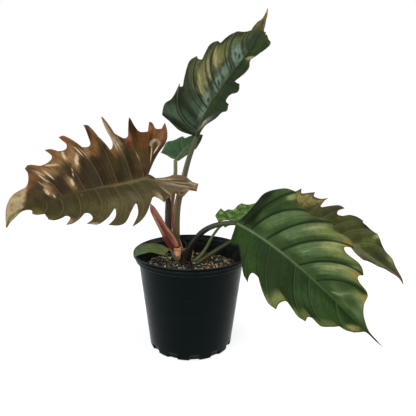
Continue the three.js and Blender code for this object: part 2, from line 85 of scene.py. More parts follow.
# Leaf stalks: radius at the stem, radius at the blade, and route.
STALKS = {
    "stalk_caramel": (4.4, 2.6, (
        (-14, 4, 120), (-27, 4, 142), (-33, 5, 166), (-34, 8, 187), (-35, 11, 207), (-44, 8, 225),
        (-54, 0, 236), (-57.4, -5, 239))),
    "stalk_top": (5, 2.5, (
        (-14, 6, 120), (-21, 6, 140), (-21.7, 7, 165), (-20.2, 8, 195), (-16, 9, 216),
        (-10.5, 10, 240), (-6, 10, 258), (0, 10, 276), (5.2, 9.9, 292))),
    "stalk_small_back": (2.5, 1.8, (
        (-11, 12, 120), (-20, 18, 148), (-26, 19, 170), (-27, 17, 192), (-25, 19, 213),
        (-23, 22, 240), (-24, 25, 259))),
    "stalk_front": (4.6, 2.7, (
        (-7, 1, 118), (1, -4, 145), (9, -6, 157), (17, -9, 166), (27, -13, 173), (38, -18, 178),
        (48, -23, 181), (60, -30, 183))),
    "stalk_small_right": (2.6, 1.8, (
        (-3, 9, 114), (10, 9, 122), (21, 9, 137), (26, 9, 147), (31, 10, 156), (41, 12, 168),
        (54.6, 14, 174.9))),
    "stalk_back": (3.8, 2.4, (
        (-3, 1, 108), (13, 7, 118), (42, 14, 136), (62, 17, 148), (97, 20, 172),
        (134.6, 20, 200.8))),
    "stalk_rim": (1.7, 1.3, (
        (-13.5, -9, 105), (-14.5, -9.5, 113), (-18.3, -14, 122.9), (-22.2, -17, 130.3),
        (-25, -16.3, 136.4), (-28, -15, 140.2), (-30.5, -14.4, 141.1))),
}

# Leaf blades. tip is the length of the midrib, rib its half width at the base, quilt how much the
# blade is puffed up between its veins, and wave how much its margin waves. arch is how much the
# left and the right half bend, in degrees a millimetre. fold and lean are the angles of each half
# at the midrib and of its veins, in degrees, at the base and at the tip. facing is where the upper
# face looks, once or for the base and the tip, and midrib its line in space. left and right are
# the flat outlines: along the midrib, out from it, and at the tip of each lobe also where on the
# midrib the lobe's vein starts. sweep moves the left half behind the base.
BLADES = {
    "leaf_caramel": dict(
        tip=209.5, rib=2.2, quilt=2.2, wave=2.5, arch=(0.1, 0.1), fold=((25, 25), (14, 14)),
        lean=((116, 45), (92, 55)), sweep=(0.6, -16, 2.3),
        facing=((0.52, -0.74, 0.43), (0.9, -0.17, 0.4)),
        midrib=(
            (-57, -8, 239), (-86.4, -34.7, 234.4), (-113.5, -64, 231.5), (-134.1, -92.1, 228.9),
            (-148.6, -118.1, 225.7), (-154.6, -132, 225.7), (-159.7, -145.5, 224.8),
            (-164.9, -160, 222.7), (-168.6, -168, 217.4), (-168.8, -174, 210.5)),
        left=(
            (-37, 6), (-54, 15), (-63, 31, 0), (-53, 43, 0), (-44, 39), (-36, 41), (-26, 46, 1),
            (-20, 34), (-13, 38), (-7, 43, 2), (0, 43), (5, 46, 5), (10, 38), (14, 35), (28, 46),
            (42, 57), (54, 63), (71, 68, 32), (56, 58), (49, 50), (43, 37), (56, 46), (68, 55),
            (78, 59), (89, 59), (101, 55, 55), (88, 51), (81, 45), (76, 37), (90, 44), (102, 47),
            (113, 48), (128, 43, 81), (116, 41), (114, 33), (119, 30), (130, 32), (138, 34),
            (149, 34, 108), (141, 29), (144, 24), (152, 24), (165, 21, 130), (167, 18), (165, 14),
            (171, 11), (176, 8, 150), (174, 5), (178, 2.4), (187, 1.8), (196, 3), (203, 2)),
        right=(
            (-34, 36), (-46, 56), (-45, 63), (-43, 67, 0), (-40, 65), (-38, 61), (-27, 61),
            (-25, 67), (-22, 70), (-18, 71, 2), (-18, 67), (-19, 61), (-5, 59), (0, 61), (5, 70),
            (8, 76), (11, 80, 7), (14, 75), (17, 66), (20, 56), (25, 55), (34, 61), (44, 69),
            (49, 79), (51, 83), (54, 84, 25), (53, 77), (51, 68), (44, 51), (46, 45), (50, 43),
            (54, 53), (61, 61), (71, 67), (71, 73), (73, 75), (79, 76, 47), (78, 70), (77, 62),
            (76, 52), (80, 50), (96, 55), (102, 63), (106, 66), (113, 65, 68), (111, 61), (107, 56),
            (108, 51), (116, 50), (121, 53), (125, 54), (132, 54, 94), (127, 46), (131, 42),
            (143, 39), (161, 41), (166, 38, 126), (165, 33), (171, 21), (179, 19), (186, 17),
            (193, 12), (201, 5)),
    ),
    "leaf_top": dict(
        tip=196, rib=2.2, quilt=1.8, wave=2, arch=(0.05, 0.05), fold=((30, 30), (30, 30)),
        lean=((82, 50), (92, 92)), facing=(-0.5, -0.79, 0.35),
        midrib=((5, 10, 292), (21, -9, 354), (87, -2, 397), (96, 25, 457)),
        left=(
            (0, 9), (1, 23), (10, 53, 0), (22, 54), (29, 49), (48, 49, 9), (45, 46), (48, 43),
            (62, 50), (72, 54), (77, 54), (85, 50, 40), (83, 47), (85, 42), (95, 44), (106, 46),
            (113, 44), (118, 40, 67), (117, 36), (127, 34), (137, 32), (145, 27, 100), (148, 20),
            (156, 13), (162, 8.5, 129), (165, 7), (167.5, 8.8), (171, 8.4), (178, 4.4), (185, 2.4),
            (190, 1.4)),
        right=(
            (3, 9), (20, 20), (41, 39), (49, 43), (55, 56), (61, 51, 60), (62, 43), (70, 39),
            (77, 47), (85, 40, 86), (84, 26), (90, 28), (107, 28), (114, 22, 108), (118, 26),
            (121, 34), (125, 38), (128, 35), (130, 39), (134, 43), (138, 41), (141, 35, 125),
            (148, 26), (149, 22), (152, 21), (154, 16), (160, 8), (164, 6), (180, 1.8)),
    ),
    "leaf_front": dict(
        tip=233, rib=2.4, quilt=2.6, wave=2, arch=(-0.1, 0), fold=((10, 10), (10, 10)),
        lean=((76, 35), (80, 32)), facing=(-0.19, -0.93, 0.32),
        midrib=((60, -30, 183), (120, -70, 162), (176, -105, 107), (232, -110, 54)),
        left=(
            (4, 5), (10, 11), (12, 30), (15, 51), (28, 66), (34, 70), (44, 72, 11), (47, 67),
            (53, 62), (66, 60, 22), (64, 57), (71, 57), (82, 64), (95, 67, 46), (99, 61), (113, 65),
            (120, 65), (128, 60, 69), (120, 53), (125, 50), (143, 51), (150, 49), (156, 44, 97),
            (152, 40), (155, 36), (172, 33), (176, 30, 124), (179, 21), (187, 12), (197, 6),
            (204, 2.8), (211, 1.3), (221, 0.8)),
        right=(
            (3, 8), (4, 20), (6, 25, 2), (12, 25), (20, 24), (35, 38), (50, 51), (61, 55, 27),
            (58, 49), (58, 43), (65, 42), (73, 44), (88, 54), (100, 58), (111, 57, 55), (109, 50),
            (113, 42), (124, 43), (136, 45), (146, 43, 94), (144, 38), (148, 35), (163, 34),
            (172, 26, 115), (179, 18), (186, 17), (195, 12, 157), (200, 6.5), (204, 2), (208, 1.1),
            (221, 0.9)),
    ),
    "leaf_back": dict(
        tip=196, rib=2, quilt=2, wave=2, arch=(0.1, 0.1), fold=((10, 10), (25, 25)),
        lean=((76, 45), (76, 45)), facing=(0.25, -0.72, 0.65),
        midrib=(
            (135, 20, 201), (169.9, 18.4, 181.6), (204.1, 13.8, 161.3), (237, 5.9, 140),
            (260, -2, 124), (275.5, -7, 115), (284.5, -13, 109), (289, -18, 104.2),
            (290.5, -22, 99.2)),
        left=(
            (-8, 6), (-7, 15, 0), (0, 19), (10, 32, 6), (12, 24), (23, 33), (30, 38, 18), (30, 30),
            (38, 32), (50, 41, 33), (46, 32), (45, 21), (59, 34), (68, 41), (76, 41, 52), (69, 30),
            (70, 25), (78, 28), (86, 37), (95, 41), (105, 41, 72), (106, 37), (118, 37),
            (129, 37, 88), (140, 28), (153, 23), (164, 18, 112), (173, 9), (184, 3.5)),
        right=(
            (-13, 16), (-13, 28, 0), (2, 30), (15, 36, 3), (17, 28), (30, 33), (44, 42, 20),
            (43, 32), (58, 35), (76, 42, 50), (73, 31), (87, 26), (99, 19, 78), (103, 15),
            (116, 11), (131, 22, 102), (141, 17), (150, 14), (162, 7), (176, 5), (186, 2)),
    ),
    "leaf_small_right": dict(
        tip=73, rib=1.5, quilt=1, wave=1.5, arch=(0.05, 0.05), fold=((15, 15), (45, 45)),
        lean=((75, 50), (75, 50)), facing=(0, -0.7, 0.7),
        midrib=((55, 14, 175), (78, 20, 184), (100, 27, 193), (122, 33, 196)),
        left=(
            (-17, 5), (-17, 16, 0), (-11, 20), (-5, 23, 1), (-3, 17), (4, 17), (11, 14), (19, 17),
            (25, 18, 13), (31, 13), (44, 11, 30), (56, 7)),
        right=(
            (-14, 6), (-14, 15, 0), (-5, 20), (4, 17), (12, 17), (20, 20, 12), (30, 16),
            (44, 13, 30), (56, 8)),
    ),
    "leaf_small_back": dict(
        tip=53, rib=1.5, quilt=0.8, wave=1, arch=(0.05, 0.05), fold=((15, 15), (15, 15)),
        lean=((75, 50), (75, 50)), facing=(0.1, -1, 0.1),
        midrib=((-24, 25, 259), (-16, 26, 272), (-3, 30, 284), (14, 34, 294)),
        left=(
            (-1, 6), (-1, 14), (-2, 23, 2), (5, 24), (11, 25), (18, 19), (29, 15, 18), (30, 11),
            (36, 9), (46, 5)),
        right=((2, 5), (8, 7), (16, 9), (24, 10), (33, 11, 24), (39, 9), (47, 5)),
    ),
    "leaf_rim": dict(
        tip=52, rib=1.2, quilt=0.6, wave=0.8, arch=(-0.8, -0.3), fold=((-4, -4), (5, 5)),
        lean=((70, 45), (70, 45)), facing=(0, -0.25, 0.97),
        midrib=((-30, -14.4, 141), (-42, -17, 147), (-60, -27, 150), (-71, -38, 139)),
        left=((1, 5), (7, 13), (14, 16), (22, 14), (30, 9), (40, 6), (46, 3)),
        right=((4, 2.5), (9, 6), (18, 9), (28, 12), (36, 14), (43, 11), (48, 5)),
    ),
    "leaf_sheath": dict(
        tip=73, rib=0.6, quilt=0, wave=0, arch=(1, 0.6), fold=((38, 30), (14, 14)),
        lean=((60, 45), (60, 45)), facing=(-0.2, -0.95, -0.1),
        midrib=((-20.2, -8, 139.5), (-31.9, -9.4, 157.6), (-46, -10, 179.6), (-54.7, -12, 203.2)),
        left=((0.5, 6), (8, 7.5), (22, 7), (33, 5.5), (48, 4.5), (65, 3.5)),
        right=((0.5, 6), (5, 8), (12, 10), (22, 10.5), (36, 8.5), (52, 7.5), (68, 4)),
    ),
}

# How all leaves are made. A row is a curve of points from the midrib out to the margin.
BLADE_THICKNESS = 0.7
MARGIN_THINNING = 0.55  # the share of the thickness that is gone at the margin
TIP_THINNESS = 0.45  # the share that is left at the tip of the midrib
VEIN_REACH = 0.65  # where on its length a row bends from its first direction
BACK_SLANT = 0.8  # how far that direction gives way to a lobe that points further back
SWEEP_AT = 50  # how far behind the midrib's start the left half is swept by the whole sweep
TIP_RIB = 0.7  # half width of the midrib at the tip
THINNEST_RIB = 0.2
RIB_SHARE = 0.75  # the most that the midrib takes up of a half
RIB_COLUMNS = np.array([0.35, 0.7])  # columns of points on the midrib, in half widths
KEEL = 1.5  # depth of the midrib below the blade, in half widths
UNDER_VEIN = 0.7  # height of the veins on the lower side
GROOVE_WIDTH, MINOR_WIDTH, UNDER_WIDTH = 1.1, 0.9, 0.9
CRUMPLE_SIZE = 11
CROWDING = 0.35  # how much closer rows lie at the veins than between them
FEWEST_ROWS = 9  # from one vein to the next
FAR_OFF = 99.0  # from a vein or the margin, where neither is seen
HALVES_APART = 40  # keeps the numbers of the right half's rows off those of the left
PATTERN_APART = 37  # keeps the noise of the right half off that of the left


# Numbers and curves.
def linear(red, green, blue):
    """A colour given as 0 to 255 screen values, in the linear values that shaders take."""
    scaled = [channel / 255 for channel in (red, green, blue)]
    return tuple(c / 12.92 if c <= 0.04045 else ((c + 0.055) / 1.055) ** 2.4 for c in scaled) + (1,)


def smooth(low, high, value):
    """0 up to low and 1 from high on, with a soft rise; or the other way round if low > high."""
    t = np.clip((np.asarray(value, float) - low) / (high - low), 0, 1)
    return t * t * (3 - 2 * t)


def unit(vectors):
    return vectors / np.maximum(np.linalg.norm(vectors, axis=-1, keepdims=True), 1e-12)


NOISE_SIZE = 64
SEED_STEP = 17.3
noise_table = np.random.default_rng(11).random((NOISE_SIZE,) * 3)


def noise(points, scale, seed=0):
    """Smooth value noise from -1 to 1 at points in millimetres; scale is the size of its lumps."""
    p = np.asarray(points, float) / scale + SEED_STEP * seed
    cell = np.floor(p).astype(int)
    f = p - cell
    f = f * f * (3 - 2 * f)
    total = 0
    for corner in np.ndindex(2, 2, 2):
        at = (cell + corner) % NOISE_SIZE
        weight = np.prod(np.where(corner, f, 1 - f), axis=-1)
        total = total + weight * noise_table[at[..., 0], at[..., 1], at[..., 2]]
    return 2 * total - 1


def smooth_curve(knots, spacing):
    """Points about spacing apart on the centripetal Catmull-Rom curve through the knots."""
    p = np.asarray(knots, float)
    if len(p) == 2:
        count = max(2, int(np.ceil(np.linalg.norm(p[1] - p[0]) / spacing)) + 1)
        return p[0] + np.linspace(0, 1, count)[:, None] * (p[1] - p[0])
    p = np.vstack([2 * p[0] - p[1], p, 2 * p[-1] - p[-2]])
    made = []
    for a, b, c, d in zip(p, p[1:], p[2:], p[3:]):
        t1 = max(np.linalg.norm(b - a), 1e-6) ** 0.5
        t2 = t1 + max(np.linalg.norm(c - b), 1e-6) ** 0.5
        t3 = t2 + max(np.linalg.norm(d - c), 1e-6) ** 0.5
        count = max(2, int(np.ceil(np.linalg.norm(c - b) / spacing)))
        t = np.linspace(t1, t2, count, endpoint=False)[:, None]
        ab = (t1 - t) / t1 * a + t / t1 * b
        bc = (t2 - t) / (t2 - t1) * b + (t - t1) / (t2 - t1) * c
        cd = (t3 - t) / (t3 - t2) * c + (t - t2) / (t3 - t2) * d
        abc = (t2 - t) / t2 * ab + t / t2 * bc
        bcd = (t3 - t) / (t3 - t1) * bc + (t - t1) / (t3 - t1) * cd
        made.append((t2 - t) / (t2 - t1) * abc + (t - t1) / (t2 - t1) * bcd)
    return np.vstack(made + [p[-2:-1]])


def lengths(points):
    steps = np.linalg.norm(np.diff(points, axis=0), axis=1)
    return np.concatenate([[0], np.cumsum(steps)])


def at_each(where, places, values):
    """Rows of values, given at places in rising order, found at other places."""
    return np.stack([np.interp(where, places, column) for column in values.T], axis=-1)


def even(points, count):
    """The same curve with count points at even distances."""
    reach = lengths(points)
    return at_each(np.linspace(0, reach[-1], count), reach, points)


def distance_to_line(points, line):
    """Distance of each 2-D point to the nearest part of a polyline."""
    best = np.full(len(points), 1e9)
    for a, b in zip(line, line[1:]):
        step = b - a
        t = np.clip((points - a) @ step / max(step @ step, 1e-9), 0, 1)
        best = np.minimum(best, np.linalg.norm(points - a - t[:, None] * step, axis=1))
    return best


# Meshes.
def piece(name, points, faces, node, material, slot, attributes=None, sharp=None):
    """A mesh object from points in millimetres. It rides on the only body and stands for a node."""
    mesh = bpy.data.meshes.new(name)
    mesh.from_pydata((np.asarray(points) * MM).tolist(), [], faces)
    for key, values in (attributes or {}).items():
        values = np.asarray(values, np.float32)
        kind, field = ("FLOAT", "value") if values.ndim == 1 else ("FLOAT_VECTOR", "vector")
        mesh.attributes.new(key, kind, "POINT").data.foreach_set(field, values.ravel())
    mesh.polygons.foreach_set("use_smooth", [True] * len(mesh.polygons))
    if sharp is not None:
        mesh.set_sharp_from_angle(angle=math.radians(sharp))
    mesh.materials.append(material)
    mesh.update()
    made = bpy.data.objects.new(name, mesh)
    bpy.context.scene.collection.objects.link(made)
    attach(made, "root")
    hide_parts(node)


def welded(points, faces, attributes):
    """The same surface with coincident points made one and faces without area left out."""
    keys = np.round(points, 3)
    _, first, index = np.unique(keys, axis=0, return_index=True, return_inverse=True)
    index = index.ravel()
    kept = []
    for f in faces:
        g = [int(index[v]) for v in f]
        g = [v for i, v in enumerate(g) if v != g[i - 1]]
        if len(g) > 2 and len(set(g)) == len(g):
            kept.append(tuple(g))
    return points[first], kept, {key: value[first] for key, value in attributes.items()}


def circle(count):
    return np.linspace(0, math.tau, count, endpoint=False)


def capped(start, rings, around, first, last):
    """Faces of rings of points, numbered from start on, closed by the points first and last."""
    end = start + (rings - 1) * around
    faces = []
    for j in range(around):
        k = (j + 1) % around
        faces += [(first, start + k, start + j), (last, end + j, end + k)]
        for a in range(start, end, around):
            faces.append((a + j, a + k, a + around + k, a + around + j))
    return faces


def tube_frames(line):
    """Side directions along a line of points that don't twist about it."""
    forward = unit(np.gradient(line, axis=0))
    side = unit(np.cross(forward[0], (0, 0, 1)) + (1e-6, 0, 0))
    sides = []
    for direction in forward:
        side = unit(side - (side @ direction) * direction)
        sides.append(side)
    sides = np.array(sides)
    return sides, np.cross(forward, sides)


def tube(line, radii, around):
    """Points, faces, and the place along and around, of a closed tube along a line of points."""
    sides, ups = tube_frames(line)
    turn = circle(around)
    radii = np.broadcast_to(np.asarray(radii, float), (around, len(line))).T
    rings = (
        line[:, None]
        + radii[..., None] * np.cos(turn)[None, :, None] * sides[:, None]
        + radii[..., None] * np.sin(turn)[None, :, None] * ups[:, None]
    )
    reach = lengths(line)
    points = np.vstack([rings.reshape(-1, 3), line[:1], line[-1:]])
    along = np.concatenate([np.repeat(reach, around), [0, reach[-1]]])
    angle = np.concatenate([np.tile(turn, len(line)), [0, 0]])
    faces = capped(0, len(line), around, len(points) - 2, len(points) - 1)
    return points, faces, along, angle


# Shader graphs.
class Graph:
    """A material's node tree, with one short call for each kind of node."""

    def __init__(self, name):
        self.material = bpy.data.materials.new(name)
        self.material.use_nodes = True
        self.nodes = self.material.node_tree.nodes
        self.links = self.material.node_tree.links
        self.shader = self.nodes["Principled BSDF"]

    def node(self, kind, inputs=None, **settings):
        made = self.nodes.new("ShaderNode" + kind)
        for key, value in settings.items():
            setattr(made, key, value)
        for key, value in (inputs or {}).items():
            self.set(made.inputs[key], value)
        return made

    def set(self, socket, value):
        if isinstance(value, bpy.types.NodeSocket):
            self.links.new(value, socket)
        else:
            socket.default_value = value

    def attribute(self, name, output="Fac"):
        return self.node("Attribute", attribute_name=name).outputs[output]

    def part(self, vector, axis):
        return self.node("SeparateXYZ", {"Vector": vector}).outputs[axis]

    def math(self, operation, a, b=0.0):
        return self.node("Math", {0: a, 1: b}, operation=operation).outputs[0]

    def plus(self, a, b):
        return self.math("ADD", a, b)

    def times(self, a, b):
        return self.math("MULTIPLY", a, b)

    def ramp(self, value, low, high, start=0.0, stop=1.0):
        inputs = {"Value": value, "From Min": low, "From Max": high}
        inputs.update({"To Min": start, "To Max": stop})
        return self.node("MapRange", inputs, interpolation_type="SMOOTHSTEP").outputs["Result"]

    def mix(self, amount, a, b, blend="MIX"):
        """A mix of two colours. A colour of three numbers is in screen values, from 0 to 255."""
        made = self.node("Mix", {"Factor": amount}, data_type="RGBA", blend_type=blend)
        for socket, value in ((6, a), (7, b)):
            screen = isinstance(value, tuple) and len(value) == 3
            self.set(made.inputs[socket], linear(*value) if screen else value)
        return made.outputs[2]

    def lay(self, colour, tint, mask, strength):
        """A colour with a tint laid over it where the mask is."""
        return self.mix(self.times(mask, strength), colour, tint)

    def noise(self, vector, scale, detail, roughness, distortion=0.0):
        """Noise of one scale, or of one for each direction."""
        if isinstance(scale, tuple):
            vector = self.node("Mapping", {"Vector": vector, "Scale": scale}).outputs["Vector"]
            scale = 1.0
        inputs = {"Vector": vector, "Scale": scale, "Detail": detail, "Roughness": roughness}
        return self.node("TexNoise", {**inputs, "Distortion": distortion}).outputs["Fac"]

    def place(self):
        return self.node("TexCoord").outputs["Object"]

    def bump(self, height, distance):
        inputs = {"Height": height, "Distance": distance, "Strength": 1.0}
        return self.node("Bump", inputs).outputs["Normal"]

    def finish(self, **sockets):
        for key, value in sockets.items():
            self.set(self.shader.inputs[key.replace("_", " ")], value)
        return self.material


# Leaves.
class Surface:
    """The curved sheet that a leaf's flattened outline is laid on."""

    def __init__(self, spec):
        self.spec = spec
        knots = np.asarray(spec["midrib"], float)
        if len(knots) == 4:
            a, b, c, d = knots
            t = np.linspace(0, 1, 401)[:, None]
            start = (1 - t) ** 3 * a + 3 * (1 - t) ** 2 * t * b
            self.line = start + 3 * (1 - t) * t**2 * c + t**3 * d
        else:
            self.line = smooth_curve(knots, 0.5)
        self.tangents = unit(np.gradient(self.line, axis=0))
        self.reach = lengths(self.line)

    def at(self, x, y, side):
        """Places and upper-face directions of flat points; side is 1 on the left half, else -1."""
        spec = self.spec
        x, y = np.asarray(x, float), np.asarray(y, float)
        full = self.reach[-1]
        along = np.clip(x / full, 0, 1)
        reach = along * full
        place = at_each(reach, self.reach, self.line)
        forward = unit(at_each(reach, self.reach, self.tangents))
        place = place + forward * (x - reach)[..., None]
        base, tip = np.broadcast_to(np.asarray(spec["facing"], float), (2, 3))
        facing = base + (tip - base) * along[..., None]
        facing = unit(facing - (facing * forward).sum(-1, keepdims=True) * forward)
        outward = np.cross(facing, forward) * side
        half = 0 if side > 0 else 1
        fold_base, fold_tip = spec["fold"][half]
        start = np.radians(fold_base + (fold_tip - fold_base) * along)
        bend = math.radians(spec["arch"][half] or 1e-4)
        end = start + bend * np.abs(y)
        place = place + outward * ((np.sin(end) - np.sin(start)) / bend)[..., None]
        place = place + facing * ((np.cos(start) - np.cos(end)) / bend)[..., None]
        normal = facing * np.cos(end)[..., None] - outward * np.sin(end)[..., None]
        if side > 0 and "sweep" in spec:
            behind = np.minimum(x, 0) / SWEEP_AT
            place = place + (behind**2)[..., None] * np.asarray(spec["sweep"], float)
        return place, normal


def rib_width(spec, x):
    share = np.clip(np.asarray(x, float) / spec["tip"], 0, 1)
    return spec["rib"] + (TIP_RIB - spec["rib"]) * share


def fine_outline(outline, tip, spacing):
    """The rounded outline of one half: places, where each vein row starts, and its order.

    The order rises by one from each lobe's vein to the next."""
    knots = [tuple(k[:2]) for k in outline] + [(tip, 0)]
    stops = [i for i, k in enumerate(outline) if len(k) == 3]
    corners = [0] + stops + [len(outline)]
    values = [0] + [outline[i][2] for i in stops] + [tip]
    parts = []
    for order, (i, j) in enumerate(zip(corners, corners[1:])):
        line = smooth_curve(knots[i : j + 1], spacing)
        share = np.linspace(0, 1, max(FEWEST_ROWS, len(line)))
        share = share - CROWDING * np.sin(math.tau * share) / math.tau
        reach = lengths(line)
        places = at_each(share * reach[-1], reach, line)
        foot = values[order] + (values[order + 1] - values[order]) * share
        last = order == len(corners) - 2
        keep = slice(None) if last else slice(None, -1)
        parts.append(np.column_stack([places, foot, order + share])[keep])
    return np.vstack(parts)


def vein_row(spec, half, place, foot, rib, t):
    """Flat points of the curved rows from the midrib to points of the outline."""
    lean_base, lean_tip = np.radians(spec["lean"][half])
    dx, dy = place[..., 0] - foot, place[..., 1] - rib
    chord = np.arctan2(dy, dx)
    lean = lean_base + (lean_tip - lean_base) * foot / spec["tip"]
    start = np.maximum(lean, lean + BACK_SLANT * (chord - lean))
    start = chord + (start - chord) * smooth(0.5, 7, place[:, 1])  # straight near the tip
    reach = VEIN_REACH * np.hypot(dx, dy)
    cx, cy = foot + reach * np.cos(start), rib + reach * np.sin(start)

    def bowed(a, b, c):
        a, b, c = a[:, None], b[:, None], c[:, None]
        return (1 - t) ** 2 * a + 2 * t * (1 - t) * b + t * t * c

    return bowed(foot, cx, place[:, 0]), bowed(rib, cy, place[:, 1])


def half_blade(spec, surface, side, spacing, columns, relief):
    """One half of a leaf as a grid of rows along its veins, with what its material reads."""
    half = 0 if side > 0 else 1
    fine = fine_outline(spec[("left", "right")[half]], spec["tip"], spacing)
    place, foot, order = fine[:, :2], fine[:, 2], fine[:, 3]
    rib = np.minimum(rib_width(spec, foot), RIB_SHARE * place[:, 1])
    t = np.linspace(0, 1, columns)[None, :]
    x, y = vein_row(spec, half, place, foot, rib, t)
    inner = len(RIB_COLUMNS)
    x = np.hstack([np.repeat(foot[:, None], inner, axis=1), x])
    y = np.hstack([rib[:, None] * RIB_COLUMNS, y])
    t = np.hstack([np.zeros((1, inner)), t])
    flat = np.stack([x, y], axis=-1)
    # Distances, in millimetres on the flat leaf, to what the eye picks out.
    vein, minor = np.full(x.shape, FAR_OFF), np.full(x.shape, FAR_OFF)

    def mark(field, rows, off):
        """Lower the field, in some rows, to the distance from the row that is the least off."""
        line = flat[np.argmin(off)][inner:]
        found = distance_to_line(flat[rows].reshape(-1, 2), line)
        field[rows] = np.minimum(field[rows], found.reshape(-1, x.shape[1]))

    last = int(round(order[-1]))
    for k in range(1, last):
        off = np.abs(order - k)
        mark(vein, off <= 1.001, off)
    for k in range(last):
        within = (order >= k) & (order <= k + 1)
        mark(minor, within, np.abs(order - k - relief["minor"]))
    edge = distance_to_line(flat.reshape(-1, 2), place).reshape(x.shape)
    # Height over the sheet: puffed between veins, waved at the margin, grooved at the veins.
    p = (np.clip(order, 0, order[-1] - 1e-6) % 1)[:, None]
    swell = np.sin(math.pi * np.minimum(0.15 + t, 1))
    puff = relief["puff"][half] * spec["quilt"] * np.sin(math.pi * p) ** 2 * swell
    slack = np.minimum(1, place[:, 1:] / 25)
    ripple = spec["wave"] * t**2 * np.sin(math.tau * p) * slack
    fade_in = smooth(0, 6, y)
    groove = relief["groove"] * np.exp(-((vein / GROOVE_WIDTH) ** 2)) * fade_in
    thin = np.exp(-((minor / MINOR_WIDTH) ** 2))
    groove = groove + relief["minor_groove"] * thin * fade_in * (1 - t)
    place3, normal = surface.at(x, side * y, side)
    crumple = relief["crumple"] * noise(place3, CRUMPLE_SIZE, 3) * fade_in
    half_rib = np.maximum(rib[:, None], THINNEST_RIB)
    rounded = np.clip(1 - (y / half_rib) ** 2, 0, 1)
    ridge = relief["ridge"] * rounded
    height = puff + ripple - groove + crumple + ridge
    upper = place3 + normal * height[..., None]
    thick = BLADE_THICKNESS * (1 - MARGIN_THINNING * t)
    keel = KEEL * rib[:, None] * np.sqrt(rounded)
    under_veins = UNDER_VEIN * np.exp(-((vein / UNDER_WIDTH) ** 2)) * (1 - 0.8 * t)
    lower = upper - normal * (thick + keel + ridge + under_veins * fade_in)[..., None]
    facts = dict(vein=vein, minor=minor, edge=edge, rib=y / half_rib, along=x, across=side * y)
    facts.update(order=order[:, None] + HALVES_APART * half, out=t, foot=foot[:, None])
    return upper, lower, {key: np.broadcast_to(value, x.shape) for key, value in facts.items()}


def zipped(inner, outer):
    """Triangles between two rows of (x, number) that run the same way along the leaf."""
    faces = []
    i = j = 0
    while i < len(inner) - 1 or j < len(outer) - 1:
        step = j == len(outer) - 1 or (i < len(inner) - 1 and inner[i + 1][0] < outer[j + 1][0])
        if step:
            faces.append((inner[i][1], inner[i + 1][1], outer[j][1]))
            i += 1
        else:
            faces.append((inner[i][1], outer[j + 1][1], outer[j][1]))
            j += 1
    return faces


def closed_sheet(rib_row, blocks, total):
    """Faces of a sheet's upper side, its lower side and the wall round its edge."""
    faces = []
    for (start, (rows, cols), feet), flip in zip(blocks, (False, True)):
        made = zipped(rib_row, [(feet[i], start + i * cols) for i in range(rows)])
        index = start + np.arange(rows * cols).reshape(rows, cols)
        corners = index[:-1, :-1], index[1:, :-1], index[1:, 1:], index[:-1, 1:]
        made += list(zip(*(corner.ravel().tolist() for corner in corners)))
        faces += [f[::-1] if flip else f for f in made]
    under = [tuple(v + total for v in f[::-1]) for f in faces]
    directed = [(p, q) for f in faces for p, q in zip(f, f[1:] + f[:1])]
    rim = set()
    for p, q in directed:
        rim.symmetric_difference_update({(min(p, q), max(p, q))})
    directed = set(directed)
    walls = []
    for p, q in rim:
        if (p, q) not in directed:
            p, q = q, p
        walls.append((q, p, p + total, q + total))
    return faces + under + walls


RELIEF = dict(
    puff=(1, 1), groove=0.55, minor_groove=0.25, minor=0.5, crumple=0.25, ridge=0.35,
)


def leaf(name, look, slot, spacing=1.5, columns=20, **relief):
    """A leaf blade: a thin closed sheet, finer than its solid, on the same veins and outline."""
    spec = BLADES[name]
    surface = Surface(spec)
    relief = {**RELIEF, **relief}
    material = leaf_material(slot, look)
    tops, bottoms, blocks, facts = [], [], [], {}
    count = 0
    for side in (1, -1):
        upper, lower, half = half_blade(spec, surface, side, spacing, columns, relief)
        blocks.append((count, upper.shape[:2], half["along"][:, 0]))
        tops.append(upper.reshape(-1, 3))
        bottoms.append(lower.reshape(-1, 3))
        for key, value in half.items():
            facts.setdefault(key, []).append(value.ravel())
        count += len(tops[-1])
    steps = int(spec["tip"] / spacing)
    rib_x = np.linspace(0, spec["tip"], steps + 1)
    place, normal = surface.at(rib_x, np.zeros(steps + 1), 1)
    normal = unit(normal + surface.at(rib_x, np.zeros(steps + 1), -1)[1])
    slim = smooth(spec["tip"], 0.85 * spec["tip"], rib_x)[:, None]
    tops.append(place + relief["ridge"] * slim * normal)
    width = rib_width(spec, rib_x)[:, None]
    thick = BLADE_THICKNESS * (TIP_THINNESS + (1 - TIP_THINNESS) * slim)
    bottoms.append(place - (thick + KEEL * width * slim) * normal)
    middle = dict.fromkeys(("vein", "minor", "edge"), FAR_OFF)
    middle.update(rib=0, along=rib_x, across=0, order=0, out=0, foot=rib_x)
    for key, value in middle.items():
        facts[key].append(np.broadcast_to(np.asarray(value, float), rib_x.shape))
    total = count + steps + 1
    faces = closed_sheet([(x, count + i) for i, x in enumerate(rib_x)], blocks, total)
    at = SimpleNamespace(**{key: np.tile(np.concatenate(facts[key]), 2) for key in facts})
    at.x, at.y, at.phase = at.along, at.across, at.order % HALVES_APART % 1
    on_right = 1.0 * (at.y < 0)
    at_tip = smooth(0.86 * spec["tip"], 0.95 * spec["tip"], at.x)
    merged = dict(vein=at.vein, minor=at.minor + 3 * at_tip, edge=at.edge, rib=at.rib + at_tip)
    merged.update(under=np.repeat([0.0, 1.0], total), phase=at.phase, half=on_right)
    merged["near"] = smooth(0.7 * spec["tip"], 0.1 * spec["tip"], at.x)
    merged["flat"] = np.column_stack([at.x, at.y, PATTERN_APART * on_right])
    merged["streak"] = np.column_stack([at.order, at.out, np.zeros_like(at.x)])
    for key, _, _, where in look.tones:
        merged[key] = where(at) if callable(where) else ovals(at, where)
    points, faces, merged = welded(np.vstack(tops + bottoms), faces, merged)
    piece("blade_" + name, points, faces, name, material, slot, merged, sharp=50)


